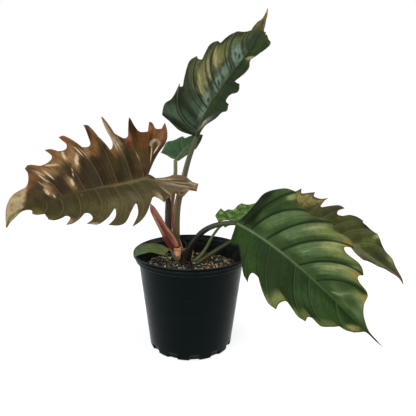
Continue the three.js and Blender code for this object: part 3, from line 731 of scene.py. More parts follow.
# What the leaves are made of.
def ovals(at, shapes):
    """A tone in soft ovals: along and out from the midrib, half length, half width and turn."""
    most = np.zeros_like(at.x)
    for x, y, long, wide, turn in shapes:
        a = math.radians(turn)
        dx, dy = at.x - x, at.y - y
        u = (dx * math.cos(a) + dy * math.sin(a)) / long
        v = (dy * math.cos(a) - dx * math.sin(a)) / wide
        most = np.maximum(most, np.exp(-0.8 * (u * u + v * v)))
    return most


def fade(**ranges):
    """A tone that rises from 0 at the first number of each pair to 1 at the second.

    x and y are along and out from the midrib, in mm; out runs from 0 there to 1 at the margin;
    phase from 0 at one vein to 1 at the next; foot is where on the midrib the point's row starts.
    """
    def where(at):
        share = 1.0
        for key, ends in ranges.items():
            for low, high in zip(ends[::2], ends[1::2]):
                share = share * smooth(low, high, getattr(at, key))
        return share
    return where


# What a look has if it says nothing else. Widths are in mm; the shades, lines, specks and mottle
# say how strong a thing is; ragged is how uneven the tones' edges are, but crisp tones have sharp
# ones; gain is the brightness of it all. shade_side gives where, from one vein of the left half to
# the next, the shade begins and is full, and right_shade how strong it is on the right half.
LOOK = dict(
    mottle=0.14, ragged=1.6, gain=1, specks=0.2, crisp=(), shade_side=(0.5, 0.9), right_shade=0.3,
    vein_width=4.0, vein_shade=0.5, line_width=0.8, vein_line=0.6, minor_width=0.7, minor_line=0.2,
    edge_width=0.9, edge_line=0.6, bump=0.0006, gloss=0.16,
)
CRISP, SOFT = (0.15, 0.65), (0.02, 0.9)  # where a tone's mask starts and is full


def look(values, tones, base=None):
    """How a leaf looks: its colours and numbers over those of the base, then its tones.

    A tone is its name, its colour, how strong it is, and where it lies."""
    made = {**(vars(base) if base else LOOK), **values, "tones": tones}
    for key, other in (("vein_right", "vein"), ("minor", "vein"), ("right_line", "vein_line")):
        made.setdefault(key, made[other])
    return SimpleNamespace(**made)


def leaf_material(name, look):
    """A leaf's skin: mottled between the veins, with its own colours at veins, rib and margin."""
    g = Graph(name)
    flat, streak = g.attribute("flat", "Vector"), g.attribute("streak", "Vector")
    broad = g.noise(flat, 0.035, 2.5, 0.5)
    middle = g.noise(flat, 0.16, 5, 0.72, 0.4)
    fine = g.noise(flat, 0.9, 4, 0.65)
    streaks = g.noise(streak, (11, 1.6, 1), 3, 0.55)
    colour = g.mix(g.ramp(broad, 0.36, 0.64), look.low, look.high)
    ragged = g.times(g.math("SUBTRACT", middle, 0.5), look.ragged)
    ragged = g.plus(ragged, g.times(g.math("SUBTRACT", streaks, 0.5), 1.2))
    ragged = g.plus(ragged, 0.95)
    grainy = g.plus(g.ramp(fine, 0.3, 0.7, 0.35, 0.6), g.ramp(streaks, 0.3, 0.7, 0.2, 0.6))
    for key, tint, strength, _ in look.tones:
        edges, ends = (grainy, CRISP) if key in look.crisp else (ragged, SOFT)
        mask = g.ramp(g.times(g.attribute(key), edges), *ends)
        colour = g.lay(colour, tint, mask, strength)
    lit = g.ramp(middle, 0.3, 0.7, 1 - look.mottle, 1 + look.mottle)
    lit = g.times(lit, g.ramp(streaks, 0.25, 0.75, 0.85, 1.18))
    lit = g.times(lit, g.ramp(fine, 0.3, 0.7, 0.86 * look.gain, 1.12 * look.gain))
    colour = g.mix(1.0, colour, lit, "MULTIPLY")
    specks = g.ramp(g.noise(flat, 0.55, 2, 0.5), 0.70, 0.76)
    colour = g.lay(colour, look.speck, specks, look.specks)
    # The shade beside each vein, the veins, the finer veins, the margin and the midrib.
    vein, half, under = g.attribute("vein"), g.attribute("half"), g.attribute("under")
    dark_left = g.ramp(g.attribute("phase"), *look.shade_side)
    side = g.mix(half, dark_left, (look.right_shade,) * 3 + (1,))
    beside = g.times(g.ramp(vein, 0.4, look.vein_width, 1.0, 0.0), side)
    colour = g.lay(colour, look.beside, beside, look.vein_shade)
    thin = g.ramp(vein, 0.2, look.line_width, 1.0, 0.0)
    drawn = g.mix(half, g.times(thin, look.vein_line), g.times(thin, look.right_line))
    colour = g.mix(drawn, colour, g.mix(half, look.vein, look.vein_right))
    faint = g.ramp(g.attribute("minor"), 0.1, look.minor_width, 1.0, 0.0)
    colour = g.lay(colour, look.minor, faint, look.minor_line)
    margin = g.ramp(g.attribute("edge"), 0.1, look.edge_width, 1.0, 0.0)
    margin = g.times(margin, g.ramp(middle, 0.35, 0.65, 0.1, 1.0))
    colour = g.lay(colour, look.edge, margin, look.edge_line)
    rib_tint = g.mix(g.attribute("near"), look.rib, look.rib_light)
    rib_tint = g.mix(g.ramp(fine, 0.3, 0.7, 0.0, 0.25), rib_tint, look.low)
    colour = g.lay(colour, rib_tint, g.ramp(g.attribute("rib"), 0.55, 0.9, 1.0, 0.0), 0.8)
    back = g.mix(g.ramp(middle, 0.35, 0.65), look.back, look.back_light)
    back = g.lay(back, look.back_vein, g.ramp(vein, 0.3, 1.4, 1.0, 0.0), 0.6)
    colour = g.mix(under, colour, back)
    rough = g.ramp(broad, 0.3, 0.7, look.rough - 0.05, look.rough + 0.07)
    rough = g.plus(rough, g.times(under, 0.25))
    cells = g.node("TexVoronoi", {"Vector": flat, "Scale": 1.4}).outputs["Distance"]
    wrinkle = middle
    for grain, share in ((fine, 0.28), (cells, 0.05), (streaks, 0.35)):
        wrinkle = g.plus(wrinkle, g.times(grain, share))
    normal = g.bump(wrinkle, look.bump)
    return g.finish(
        Base_Color=colour, Roughness=rough, Normal=normal, Specular_IOR_Level=look.gloss
    )


def ring_mark(at):
    """The pale ring on the right of the caramel leaf's base."""
    off = np.hypot((at.x + 21) / 7, (at.y + 41) / 5) - 1
    return smooth(-34, -44, at.y) * np.exp(-(off / 0.4) ** 2)


def pale_tip(at):
    """The pale end of the caramel leaf, cut off at a slant."""
    return smooth(-5, 5, at.x - 182 - 0.6 * at.y) * fade(y=(0, -2, -25, -19))(at)


def mid_groove(at):
    return np.exp(-(at.y / 1.1) ** 2) * smooth(66, 44, at.x)


def crinkle(at):
    """A puckered pattern, from -1 in the creases to 1 on the pads between them."""
    slow = np.sin(0.21 * at.x + 0.9 * np.sin(0.3 * at.y))
    return np.sin(0.42 * at.x + 0.35 * at.y + 1.6 * slow) * np.cos(0.36 * at.y - 0.15 * at.x + slow)


CARAMEL = look(dict(
    low=(50, 41, 21), high=(68, 55, 30), beside=(50, 40, 20), vein=(112, 98, 66),
    vein_right=(122, 100, 64), speck=(150, 126, 92), edge=(128, 92, 60), rib=(76, 68, 40),
    rib_light=(118, 106, 66), back=(104, 78, 50), back_light=(124, 96, 64), back_vein=(90, 60, 44),
    rough=0.4, vein_shade=0.3, vein_line=0.6, minor_line=0.1, ragged=1.2,
    crisp=("cream_highlight", "ring", "fleck"),
), (
    ("lower", (70, 66, 36), 1.0, fade(y=(-2, 4))),
    ("lower_pale", (84, 77, 46), 0.9, fade(y=(16, 34), x=(130, 90))),
    ("lower_dark", (56, 52, 26), 0.7, fade(y=(22, 8, 0, 2), x=(12, 30))),
    ("warm", (88, 66, 36), 0.8, fade(x=(24, 6), y=(-8, -16))),
    ("rib_glow", (108, 98, 56), 0.9, fade(y=(4.5, 2.5, 0, 1), x=(95, 30))),
    ("sunlit", (104, 98, 72), 0.5, [(68, 31, 14, 8, 30), (36, 30, 7, 12, 0)]),
    ("back_lobe", (104, 92, 66), 0.95, fade(x=(10, -22), y=(0, 4))),
    ("lobe_folds", (72, 56, 38), 0.9, [
        (-34, 17, 32, 2, 162), (-24, 38, 20, 2.4, 170), (-4, 30, 16, 2.4, 100),
        (-44, 30, 18, 1.6, 150)]),
    ("lobe_pale", (172, 154, 124), 0.85, [
        (-40, 22, 24, 1.4, 158), (-18, 10, 18, 1.4, 165), (-58, 30, 6, 8, 60),
        (-36, 28, 22, 1.2, 156), (-46, 38, 12, 1.2, 170), (-20, 18, 18, 1.0, 150),
        (-10, 30, 12, 1.2, 115), (6, 36, 4, 8, 0)]),
    ("lobe_rust", (132, 96, 62), 0.8, [(-30, 8, 12, 1.6, -4), (-52, 40, 6, 2, 0)]),
    ("lobe_edge", (136, 96, 64), 0.8, fade(out=(0.88, 1.0), x=(6, -6), y=(0, 6))),
    ("amber", (134, 94, 56), 0.95, fade(out=(0.42, 0.95), x=(22, 48), y=(0, -5))),
    ("russet", (108, 67, 36), 0.95, fade(out=(0.42, 0.75), x=(36, 10), y=(0, -5))),
    ("orange", (150, 106, 68), 0.85, [
        (-34, -53, 14, 6, 50), (-20, -62, 8, 8, 0), (20, -56, 6, 6, 0)]),
    ("lobe_dark", (58, 36, 22), 0.95, [
        (9, -68, 16, 6, 95), (76, -66, 10, 4, 95), (160, -35, 8, 4, -20)]),
    # Painted shade in the creases beside veins and lobes.
    ("crease_shade", (50, 37, 22), 0.95, [
        (-20, -29, 22, 3, 42), (-13, -40, 12, 2, 75), (135, -22, 15, 1.8, -42),
        (117, -24, 9, 6, 0), (58, -44, 12, 3, 60), (88, -34, 10, 3, 60), (126, -8, 5, 6, 0)]),
    # Partly the leaf's own tan, partly painted highlight: the soft halo round the cream highlights.
    ("tan", (158, 126, 86), 0.9, [
        (100, -40, 14, 5, 100), (111, -13, 9, 4, 120), (142, -14, 10, 5, 130),
        (140, -31, 18, 5, 170), (112, -42, 13, 4, 145), (42, -57, 22, 5, 114),
        (122, -38, 8, 4, 0), (81, -45, 4, 8, 0)]),
    # Partly the lobe's own tan, partly painted highlight.
    ("pale_lobe", (176, 150, 118), 0.85, [
        (47, -64, 17, 4, 112), (36, -54, 10, 4, 125), (50, -76, 9, 3, 100)]),
    # Painted highlights: crisp cream reflections on the creases of the far half and the lobes.
    ("cream_highlight", (232, 206, 172), 0.9, [
        (97, -37, 7, 2.4, 80), (109, -13, 4, 2.2, 95), (105, -24, 7, 0.8, 80),
        (136, -4, 3, 0.7, 120), (146, -11, 5, 2.2, 140), (146, -25, 10, 1.0, 148),
        (150, -19, 8, 0.8, 150), (130, -37, 9, 1.0, 172), (111, -44, 5, 1.8, 100),
        (149, -31, 9, 0.8, 160), (136, -28, 8, 0.9, 130), (37, -50, 9, 0.8, 120),
        (41, -50, 8, 0.8, 112), (48, -64, 12, 1.0, 108), (92, -46, 8, 0.9, 130),
        (86, -45, 7, 0.7, 130), (-20, -33, 9, 0.8, 40), (-11, -29, 13, 0.8, 72),
        (10, -30, 8, 0.7, 105)]),
    ("ring", (182, 160, 138), 0.85, ring_mark),
    ("far", (74, 64, 38), 0.85, [(158, -12, 10, 12, 0), (172, -5, 12, 4, 0)]),
    ("tip", (182, 164, 126), 1.0, pale_tip),
    ("tip_spots", (140, 114, 76), 0.9, [
        (191, -9, 1.6, 1.6, 0), (193, -5, 1, 1.6, 0), (182, -14, 2.4, 1, 0)]),
    ("lobe_ends", (196, 168, 138), 1.0, [(121, 46, 9, 3, -14), (145, 35, 8, 3, 8)]),
    ("green_end", (100, 94, 42), 0.8, [(173, 9, 10, 5, 0)]),
    ("green_tip", (146, 142, 92), 0.9, [(196, 1.5, 12, 3, 0)]),
    ("teeth", (150, 86, 50), 1.0, [
        (110, -62, 8, 6, 0), (129, -51, 7, 5, 0), (-43, -62, 5, 7, 0), (-20, -68, 4, 6, 0),
        (53, -83, 3, 3, 0)]),
    ("fleck", (214, 200, 178), 1.0, [(103, 5.5, 1.5, 0.8, 20)]),
))
GREEN_TOP = look(dict(
    low=(40, 52, 32), high=(52, 66, 41), beside=(22, 32, 15), vein=(94, 108, 78),
    vein_right=(52, 64, 40), speck=(120, 120, 90), edge=(84, 78, 46), rib=(46, 60, 38),
    rib_light=(92, 102, 76), back=(96, 98, 72), back_light=(120, 120, 92),
    back_vein=(140, 140, 112), rough=0.36, vein_shade=0.95, vein_width=4.5, shade_side=(0.45, 0.1),
    right_shade=0.25, vein_line=0.6, minor=(26, 38, 20), minor_line=0.75, minor_width=1.8,
    ragged=1.3, gain=1.06, crisp=("spots",),
), (
    ("blue", (66, 88, 70), 0.9, [(16, 30, 26, 9, 88), (34, 12, 16, 7, 80)]),
    ("base_dark", (28, 38, 20), 0.9, [
        (9, 28, 18, 3, 82), (37, 40, 18, 7, 55), (28, 20, 16, 4, 65)]),
    # Partly the leaf's own khaki, partly painted light on the lit side of each panel between the
    # veins.
    ("khaki", (122, 119, 74), 0.95,
     fade(phase=(0.12, 0.4, 1, 0.9), out=(0.2, 0.42, 0.98, 0.6), foot=(38, 44, 104, 96), y=(0, 3))),
    # Painted highlights on the khaki panels, partly the leaf's own tan.
    ("tan", (162, 154, 106), 0.85, [
        (82, 28, 10, 2.4, 45), (101, 33, 12, 2.4, 32), (66, 31, 8, 1.8, 55),
        (56, 22, 9, 1.6, 60), (76, 22, 6, 1.6, 50), (92, 26, 7, 1.6, 42)]),
    ("khaki_low", (124, 124, 86), 0.85, [
        (57, 19, 8, 3, 60), (65, 20, 7, 3, 55), (53, 28, 7, 1.8, 65)]),
    ("lime", (90, 98, 52), 0.9, [
        (74, 45, 16, 5, 28), (92, 41, 12, 4, 10), (124, 26, 18, 7, -15), (145, 14, 12, 5, 0)]),
    ("olive_edge", (56, 58, 24), 0.9, [
        (111, 42, 13, 3, 0), (142, 25, 15, 4, -25), (80, 51, 9, 3, 10), (60, 48, 8, 2, 30)]),
    # Painted sheen: the bluish reflection along the midrib.
    ("painted_sheen", (110, 134, 116), 0.95, [
        (50, 8, 9, 4.5, 20), (73, 8, 12, 4.5, 25), (92, 9, 11, 5, 20), (119, 10, 13, 8, 20),
        (34, 4, 10, 3, 0)]),
    # Painted shade: dark crumpled pits that break up the painted sheen.
    ("spots", (34, 48, 34), 0.95, [
        (51, 6, 3, 1, 15), (75, 7, 5, 1.2, 50), (84, 7, 3, 1.8, 60), (102, 8, 7, 1.2, 45),
        (117, 12, 3.5, 1.3, 60), (117, 6, 3.5, 1.3, 30), (108, 15, 6, 1, 50), (66, 9, 3, 1, 60),
        (93, 6, 2, 1.2, 0)]),
    ("right_half", (38, 51, 30), 0.95, fade(y=(1, -3))),
    ("right_light", (56, 69, 38), 0.85, [(134, -18, 24, 12, 0), (60, -8, 24, 5, 0)]),
    ("right_edge", (70, 66, 34), 0.7, fade(out=(0.85, 1.0), y=(0, -6))),
    ("pale_base", (150, 152, 134), 0.95, [(23, -14, 15, 3.5, -46)]),
    ("brown_edge", (160, 140, 106), 0.95, [(117, -22, 10, 3, 85)]),
    ("tip_brown", (98, 88, 48), 0.75, fade(x=(150, 170))),
    ("tip_edge", (120, 92, 54), 0.9, fade(out=(0.7, 1.0), x=(148, 165))),
    ("tip_gold", (142, 112, 62), 0.7, fade(x=(172, 182))),
    ("tip_end", (204, 180, 146), 0.9, fade(x=(185, 193))),
))
GREEN_FRONT = look(dict(
    low=(44, 64, 28), high=(58, 80, 38), beside=(24, 42, 12), vein=(18, 34, 8),
    vein_right=(84, 104, 60), speck=(140, 142, 100), edge=(62, 58, 24), rib=(70, 90, 54),
    rib_light=(112, 130, 94), back=(90, 104, 68), back_light=(112, 122, 84),
    back_vein=(128, 138, 100), rough=0.36, vein_shade=0.9, vein_width=3.4, shade_side=(0.45, 0.85),
    right_shade=0.1, vein_line=0.85, right_line=0.4, line_width=1.1, edge_line=0.75, mottle=0.12,
    ragged=0.9, gloss=0.11, gain=1.04, crisp=("shine_highlight",),
), (
    ("grey_green", (84, 106, 66), 0.9,
     fade(phase=(0.0, 0.1, 0.95, 0.45), foot=(20, 26), y=(0, 3), out=(0.02, 0.3))),
    # Partly own colour, partly painted light on the side of each panel that catches the light.
    ("light", (118, 128, 72), 0.92,
     fade(phase=(0.0, 0.1, 0.98, 0.6), out=(0.3, 0.8), foot=(40, 58, 170, 130), y=(0, 3))),
    # Painted highlights along the veins and the margin.
    ("bright_highlight", (142, 150, 98), 0.7, [
        (112, 50, 16, 6, 52), (126, 26, 12, 2.6, 42), (44, 64, 6, 3, 60), (84, 51, 12, 2.5, 55),
        (74, 62, 8, 2, 30), (140, 40, 12, 2.6, 35)]),
    ("olive", (84, 90, 44), 0.8, fade(out=(0.86, 1.0), x=(40, 60), y=(0, 6))),
    # Partly the leaf's own golden colour, partly painted highlight.
    ("gold", (156, 130, 66), 0.9, [
        (124, 57, 8, 5, -40), (151, 38, 6, 4, 0), (176, 26, 7, 3, 110), (192, -8, 9, 4, 30)]),
    # Painted highlights on the puckered far end.
    ("shine_highlight", (124, 136, 98), 0.8, [
        (156, 13, 7, 1.6, 60), (150, 7, 7, 1.0, 25), (163, 14, 5, 1.4, 40), (92, 20, 6, 1.2, 60)]),
    ("dark_panel", (46, 66, 28), 0.85, [
        (152, 22, 14, 7, 40), (166, 12, 10, 6, 0), (206, 2, 24, 4, 0)]),
    ("dark_strip", (18, 32, 10), 1.0, fade(x=(28, 17), y=(3, 9))),
    ("right_half", (30, 51, 17), 0.97, fade(y=(1, -3))),
    ("right_base", (42, 70, 20), 0.8, [(22, -14, 22, 12, -30), (50, -34, 16, 8, -40)]),
    ("right_far", (56, 80, 40), 0.7, [
        (150, -14, 30, 8, 0), (160, -20, 24, 8, 0), (128, -24, 14, 7, 0)]),
    ("right_margin", (114, 122, 70), 0.85, fade(out=(0.62, 0.97), x=(50, 96, 124, 108), y=(0, -6))),
    ("right_rim", (88, 98, 52), 0.9, fade(out=(0.66, 0.95), x=(112, 122, 196, 180), y=(0, -6))),
    ("right_edge", (66, 70, 24), 0.8, fade(out=(0.94, 1.0), y=(0, -6))),
    ("tip_gold", (138, 136, 82), 0.9, [(191, -9, 9, 3.2, 32)]),
    ("tip_end", (66, 58, 48), 0.9, fade(x=(203, 213))),
))
BRONZE_BACK = look(dict(
    low=(58, 64, 30), high=(72, 76, 36), beside=(46, 52, 20), vein=(94, 102, 60),
    vein_right=(120, 122, 90), speck=(130, 120, 80), edge=(60, 44, 24), rib=(85, 93, 52),
    rib_light=(108, 112, 72), back=(104, 108, 74), back_light=(124, 126, 90),
    back_vein=(138, 138, 100), rough=0.38, vein_shade=0.4, vein_width=3.0, vein_line=0.6,
    edge_line=0.9, edge_width=1.4,
), (
    ("bronze", (146, 138, 80), 0.9, [
        (14, 18, 14, 10, 0), (28, 25, 12, 9, 20), (44, 32, 10, 4, 60)]),
    ("dark", (46, 50, 22), 0.9, [
        (66, 34, 14, 8, 50), (105, 38, 22, 3, 0), (155, 20, 16, 3, -25), (150, 9, 14, 6, 0)]),
    ("light", (92, 102, 52), 0.85, [(124, 15, 20, 6, 55), (165, 12, 10, 4, -30)]),
    ("patch", (140, 144, 96), 0.9, [(131, 32, 6, 3, 60), (165, 14, 5, 3, 0)]),
    ("right_half", (96, 102, 72), 0.9, fade(y=(1, -3))),
    ("right_dark", (44, 50, 28), 0.95, [(140, -17, 18, 7, 16), (160, -8, 12, 3, 10)]),
    ("teeth", (88, 60, 34), 0.95, fade(out=(0.7, 1.0), x=(90, 60), y=(0, 4))),
    ("tip_brown", (86, 66, 44), 0.9, fade(x=(168, 185))),
))
YOUNG = look(dict(
    low=(80, 114, 50), high=(104, 138, 68), beside=(58, 86, 36), vein=(118, 140, 88),
    speck=(130, 140, 96), edge=(124, 128, 76), rib=(110, 128, 82), rib_light=(128, 144, 98),
    back=(112, 128, 88), back_light=(126, 140, 98), back_vein=(140, 150, 110), rough=0.4,
    mottle=0.42, bump=0.0016, ragged=0.6,
), (
    # Painted light on the pads and painted shade in the creases of the puckered pattern.
    ("crinkle_painted_light", (132, 160, 98), 0.7, lambda at: smooth(0.2, 0.8, crinkle(at))),
    ("crinkle_painted_shade", (50, 80, 32), 0.7, lambda at: smooth(-0.25, -0.8, crinkle(at))),
))
SHEATH = look(dict(
    low=(196, 134, 114), high=(216, 160, 138), beside=(150, 92, 72), vein=(150, 92, 72),
    speck=(120, 56, 48), edge=(132, 78, 60), rib=(87, 39, 35), rib_light=(96, 48, 42),
    back=(150, 100, 80), back_light=(170, 120, 98), back_vein=(150, 100, 80), rough=0.5, specks=0.7,
    minor_line=0.0, vein_line=0.0, vein_shade=0.0, ragged=1.0,
), (
    ("salmon", (176, 108, 84), 0.85, fade(y=(0, -2))),
    ("salmon_foot", (206, 126, 98), 0.9, [(9, -6, 9, 3.2, 0)]),
    ("brown", (112, 62, 46), 0.85, [(33, -1, 14, 5, 0), (24, -4, 12, 2.5, 0)]),
    ("streaks", (150, 88, 74), 0.7, [
        (50, 5, 16, 0.5, 0), (56, 2, 14, 0.5, 0), (42, -4, 16, 0.5, 0)]),
    # Painted highlight on the left flap.
    ("flap_highlight", (214, 160, 136), 0.7, [
        (14, -7, 16, 1.2, 0), (34, -6, 14, 1.0, 0), (44, 3, 20, 1.0, 0)]),
    ("maroon", (96, 42, 38), 0.95, fade(x=(40, 14), y=(-1, 1.5))),
    ("groove", (104, 56, 44), 0.85, mid_groove),
    ("cut", (24, 17, 14), 1.0, fade(x=(3.5, 1.5))),
))
SMALL_BACK = look(dict(
    low=(58, 84, 54), high=(74, 98, 66), rib=(104, 128, 92), rib_light=(120, 140, 104), mottle=0.16,
    bump=0.0006,
), (
    ("cool", (66, 96, 72), 0.7, fade(y=(0, 3))),
    ("pale", (92, 122, 92), 0.6, fade(out=(0.7, 1.0))),
), YOUNG)
RIM = look(dict(
    low=(94, 110, 66), high=(106, 124, 80), mottle=0.2,
), (
    ("cool", (96, 118, 88), 0.8, fade(x=(26, 44))),
    ("warm", (112, 126, 74), 0.7, fade(x=(20, 6))),
), YOUNG)


# Stalks and stems.
def streaked(name, low, high, stripe, amount, rough, spots=None, bump=0.0004, left=None, far=None):
    """A stem's skin with fine streaks along it.

    far is the colour that the stem takes on, and the two distances from its foot between which it
    does. left is the colour of a band down its left side, which fades there."""
    g = Graph(name)
    lie = g.attribute("lie", "Vector")
    fine = g.noise(lie, (1.6, 1.6, 0.06), 3, 0.6)
    broad = g.noise(lie, (0.35, 0.35, 0.02), 2, 0.5)
    dots = g.noise(lie, (1.1, 1.1, 0.7), 3, 0.7)
    colour = g.mix(g.ramp(broad, 0.35, 0.65), low, high)
    colour = g.lay(colour, stripe, g.ramp(fine, 0.5, 0.66), amount)
    if far:
        far_tint, ends = far
        along = g.part(lie, "Z")
        colour = g.lay(colour, far_tint, g.ramp(along, *ends), 0.9)
    if far and left:
        band = g.ramp(g.plus(g.attribute("left"), g.times(fine, 0.4)), 0.4, 0.8)
        band = g.times(band, g.ramp(along, *ends, 1.0, 0.35))
        colour = g.lay(colour, left, band, 0.9)
    colour = g.lay(colour, spots or low, g.ramp(dots, 0.58, 0.66), 0.6)
    normal = g.bump(g.plus(fine, g.times(dots, 0.5)), bump)
    roughness = g.ramp(dots, 0.3, 0.7, rough - 0.06, rough + 0.08)
    return g.finish(Base_Color=colour, Roughness=roughness, Normal=normal)


def route_line(route, spacing=1.2):
    count = int(lengths(np.asarray(route, float))[-1] / spacing) + 2
    return even(smooth_curve(route, spacing), count)


def wrapped(angle, along):
    """Where a tube's points lie for the noise of its skin: round it, and along it."""
    return np.column_stack([5 * np.cos(angle), 5 * np.sin(angle), along])


def stem_piece(name, node, route, radii, material, slot, lumps, around=28, groove=0.0):
    """A stalk or stem on its solid's route, with slight swellings and perhaps a shallow channel."""
    line = route_line(route)
    share = np.linspace(0, 1, len(line))
    radius = np.interp(share, np.linspace(0, 1, len(radii)), radii)
    turn = circle(around)
    table = np.broadcast_to(radius, (around, len(line))).copy()
    ring = np.tile(6 * np.stack([np.cos(turn), np.sin(turn)], axis=1), (len(line), 1))
    wobble = noise(np.column_stack([ring, np.repeat(share * 60, around)]), 5, 2)
    table *= 1 + lumps * (wobble.reshape(len(line), around).T - 0.3)
    channel = np.exp(-((turn[:, None] - 1.2) / 0.35) ** 2)
    table *= 1 - groove * channel * smooth(0.3, 0.7, share)
    points, faces, along, angle = tube(line, table, around)
    sides, ups = tube_frames(line)
    ring = np.concatenate([np.repeat(np.arange(len(line)), around), [0, len(line) - 1]])
    left = -(np.cos(angle) * sides[ring, 0] + np.sin(angle) * ups[ring, 0])
    attributes = {"lie": wrapped(angle, along), "left": left}
    piece(name, points, faces, node, material, slot, attributes, sharp=60)


# The pot.
# Painted highlights: thin pale lines along the edges of the lip and the collar.
EDGE_HIGHLIGHTS = (  # height, colour and strength of each painted highlight along an edge
    (POT_HEIGHT - 0.3, (76, 84, 84), 0.5),
    (POT_HEIGHT - LIP_DEPTH, (64, 70, 70), 0.5),
    (POT_HEIGHT - LIP_DEPTH - 2.4, (50, 54, 54), 0.3),
    (POT_HEIGHT - COLLAR_DEPTH, (66, 70, 72), 0.6),
)
POT_AROUND = 288
OUTER_KNOTS = 70  # knots of the profile from the middle of the underside that the notches may move
NOTCH_DEPTH = 4.6
NOTCH_SLOPE = 0.12


def wall_radius(z):
    """Outside radius of the wall at a height."""
    up = (z - BASE_ROUNDING) / (SHOULDER_HEIGHT - BASE_ROUNDING)
    return BASE_RADIUS + (SHOULDER_RADIUS - BASE_RADIUS) * up


def pot_profile():
    """Radius and height of the pot's section, from the middle of the underside to that inside."""
    foot = POT_HEIGHT - COLLAR_DEPTH
    lip = POT_HEIGHT - LIP_DEPTH
    low = BASE_RADIUS - BASE_ROUNDING
    corner = [
        (low + BASE_ROUNDING * math.sin(a), BASE_ROUNDING * (1 - math.cos(a)))
        for a in np.linspace(0, math.pi / 2, 6)
    ]
    wall = [
        (BASE_RADIUS + (SHOULDER_RADIUS - BASE_RADIUS) * t,
         BASE_ROUNDING + (SHOULDER_HEIGHT - BASE_ROUNDING) * t)
        for t in np.linspace(0, 1, 60)[1:]
    ]
    outer = [
        (COLLAR_RADIUS - 0.5, foot - 0.35), (COLLAR_RADIUS, foot), (COLLAR_RADIUS + 0.1, foot + 0.5),
        (COLLAR_RADIUS + 0.2, foot + 3), (COLLAR_RADIUS + 0.4, lip - 0.6),
        (LIP_RADIUS - 0.3, lip - 0.1), (LIP_RADIUS, lip + 0.2), (LIP_RADIUS, POT_HEIGHT - 1.2),
        (LIP_RADIUS - 0.35, POT_HEIGHT - 0.35), (LIP_RADIUS - 1, POT_HEIGHT),
        (LIP_RADIUS - 1.8, POT_HEIGHT), (LIP_RADIUS - 2.2, POT_HEIGHT - 0.5),
    ]
    inside = COLLAR_RADIUS - WALL
    inner = [
        (inside + 0.3, lip - 1.1), (inside, lip - 1.5), (inside - 0.1, lip - 2.6),
        (inside - 0.7, lip - 3), (inside - 0.4, foot - 0.5), (SHOULDER_RADIUS - WALL, foot - 2.5),
        (SHOULDER_RADIUS - WALL - 1.4, foot - 14), (BASE_RADIUS - WALL, BASE_ROUNDING + 1),
        (low - WALL, POT_FLOOR),
    ]
    under, over = [(0, 0), (low * 0.5, 0)], [(low * 0.5, POT_FLOOR), (0, POT_FLOOR)]
    return np.array(under + corner + wall + outer + inner + over)


def notch_depth(turn, z, r):
    """How far the pot's wall is pressed in at a place, for its feet: 1 inside a notch, else 0."""
    step = math.tau / NOTCH_COUNT
    off = np.abs((turn / step - 0.25 + 0.5) % 1 - 0.5) * step * BASE_RADIUS
    inside = smooth(NOTCH_WIDTH / 2 + 0.35, NOTCH_WIDTH / 2 - 0.35, off)
    return inside * smooth(NOTCH_HEIGHT + 0.5, NOTCH_HEIGHT - 0.5, z) * smooth(40, 46, r)


def pot_piece(material):
    profile = pot_profile()
    count = len(profile)
    shape = (POT_AROUND, count)
    r, z = (np.broadcast_to(column, shape) for column in profile.T)
    angle = np.broadcast_to(circle(POT_AROUND)[:, None], shape)
    pressed = notch_depth(angle, z, r) * (np.arange(count) < OUTER_KNOTS)
    deep = np.minimum(r, BASE_RADIUS - NOTCH_DEPTH * pressed + (z * NOTCH_SLOPE))
    slim = np.where(pressed > 0, deep, r)
    points = np.stack([slim * np.cos(angle), slim * np.sin(angle), z], axis=-1).reshape(-1, 3)
    faces = []
    for j in range(POT_AROUND):
        a, b = j * count, (j + 1) % POT_AROUND * count
        faces += [(a + i, b + i, b + i + 1, a + i + 1) for i in range(count - 1)]
    lie = np.column_stack([angle.ravel(), z.ravel(), r.ravel()])
    over_lip = np.arange(count) > np.flatnonzero(profile[:, 1] == POT_HEIGHT).max()
    inside = np.tile(1.0 * over_lip, POT_AROUND)
    points, faces, attributes = welded(points, faces, {"lie": lie, "inside": inside})
    piece("pot_shell", points, faces, "nursery_pot", material, "pot_plastic", attributes, sharp=32)


def pot_material():
    """Thin moulded plastic: near black, with faint rings, painted highlights along the edges of its
    lip and collar, painted light on the inner wall, scuffs and some dust.
    """
    g = Graph("pot_plastic")
    where = g.place()
    lie = g.attribute("lie", "Vector")
    height = g.part(lie, "Y")
    rings = g.noise(lie, (0.4, 0.9, 0.2), 4, 0.6)
    grain = g.noise(where, 900, 3, 0.6)
    dust = g.noise(where, 60, 5, 0.65, 0.6)
    colour = g.mix(g.ramp(rings, 0.35, 0.7), (2, 7, 8), (5, 12, 13))
    # Inside the rim the same plastic is painted lighter: painted light on the inner wall.
    inner = g.attribute("inside")
    colour = g.lay(colour, (26, 30, 30), inner, 0.8)
    colour = g.lay(colour, (70, 64, 54), g.times(g.ramp(dust, 0.5, 0.75), inner), 0.5)
    broken = g.ramp(dust, 0.35, 0.6, 0.35, 1.0)
    # Lay the painted edge highlights, broken up by the dust noise.
    for level, tint, strength in EDGE_HIGHLIGHTS:
        off = g.math("ABSOLUTE", g.math("SUBTRACT", height, level))
        colour = g.lay(colour, tint, g.times(g.ramp(off, 0.25, 0.7, 1.0, 0.0), broken), strength)
    scratch = g.noise(where, (20, 20, 420), 2, 0.5)
    colour = g.lay(colour, (60, 64, 68), g.ramp(scratch, 0.68, 0.74), 0.1)
    rough = g.plus(g.ramp(dust, 0.35, 0.7, 0.24, 0.34), g.times(grain, 0.05))
    relief = g.plus(g.times(rings, 0.6), g.times(grain, 0.2))
    return g.finish(
        Base_Color=colour, Roughness=rough, Normal=g.bump(relief, 0.00012),
        Specular_IOR_Level=0.06, Specular_Tint=(0.8, 1, 1, 1),
    )


# The potting mix.
MIX_GAP = 0.6  # between the mix and the wall
MIX_RINGS, MIX_AROUND = 70, 220


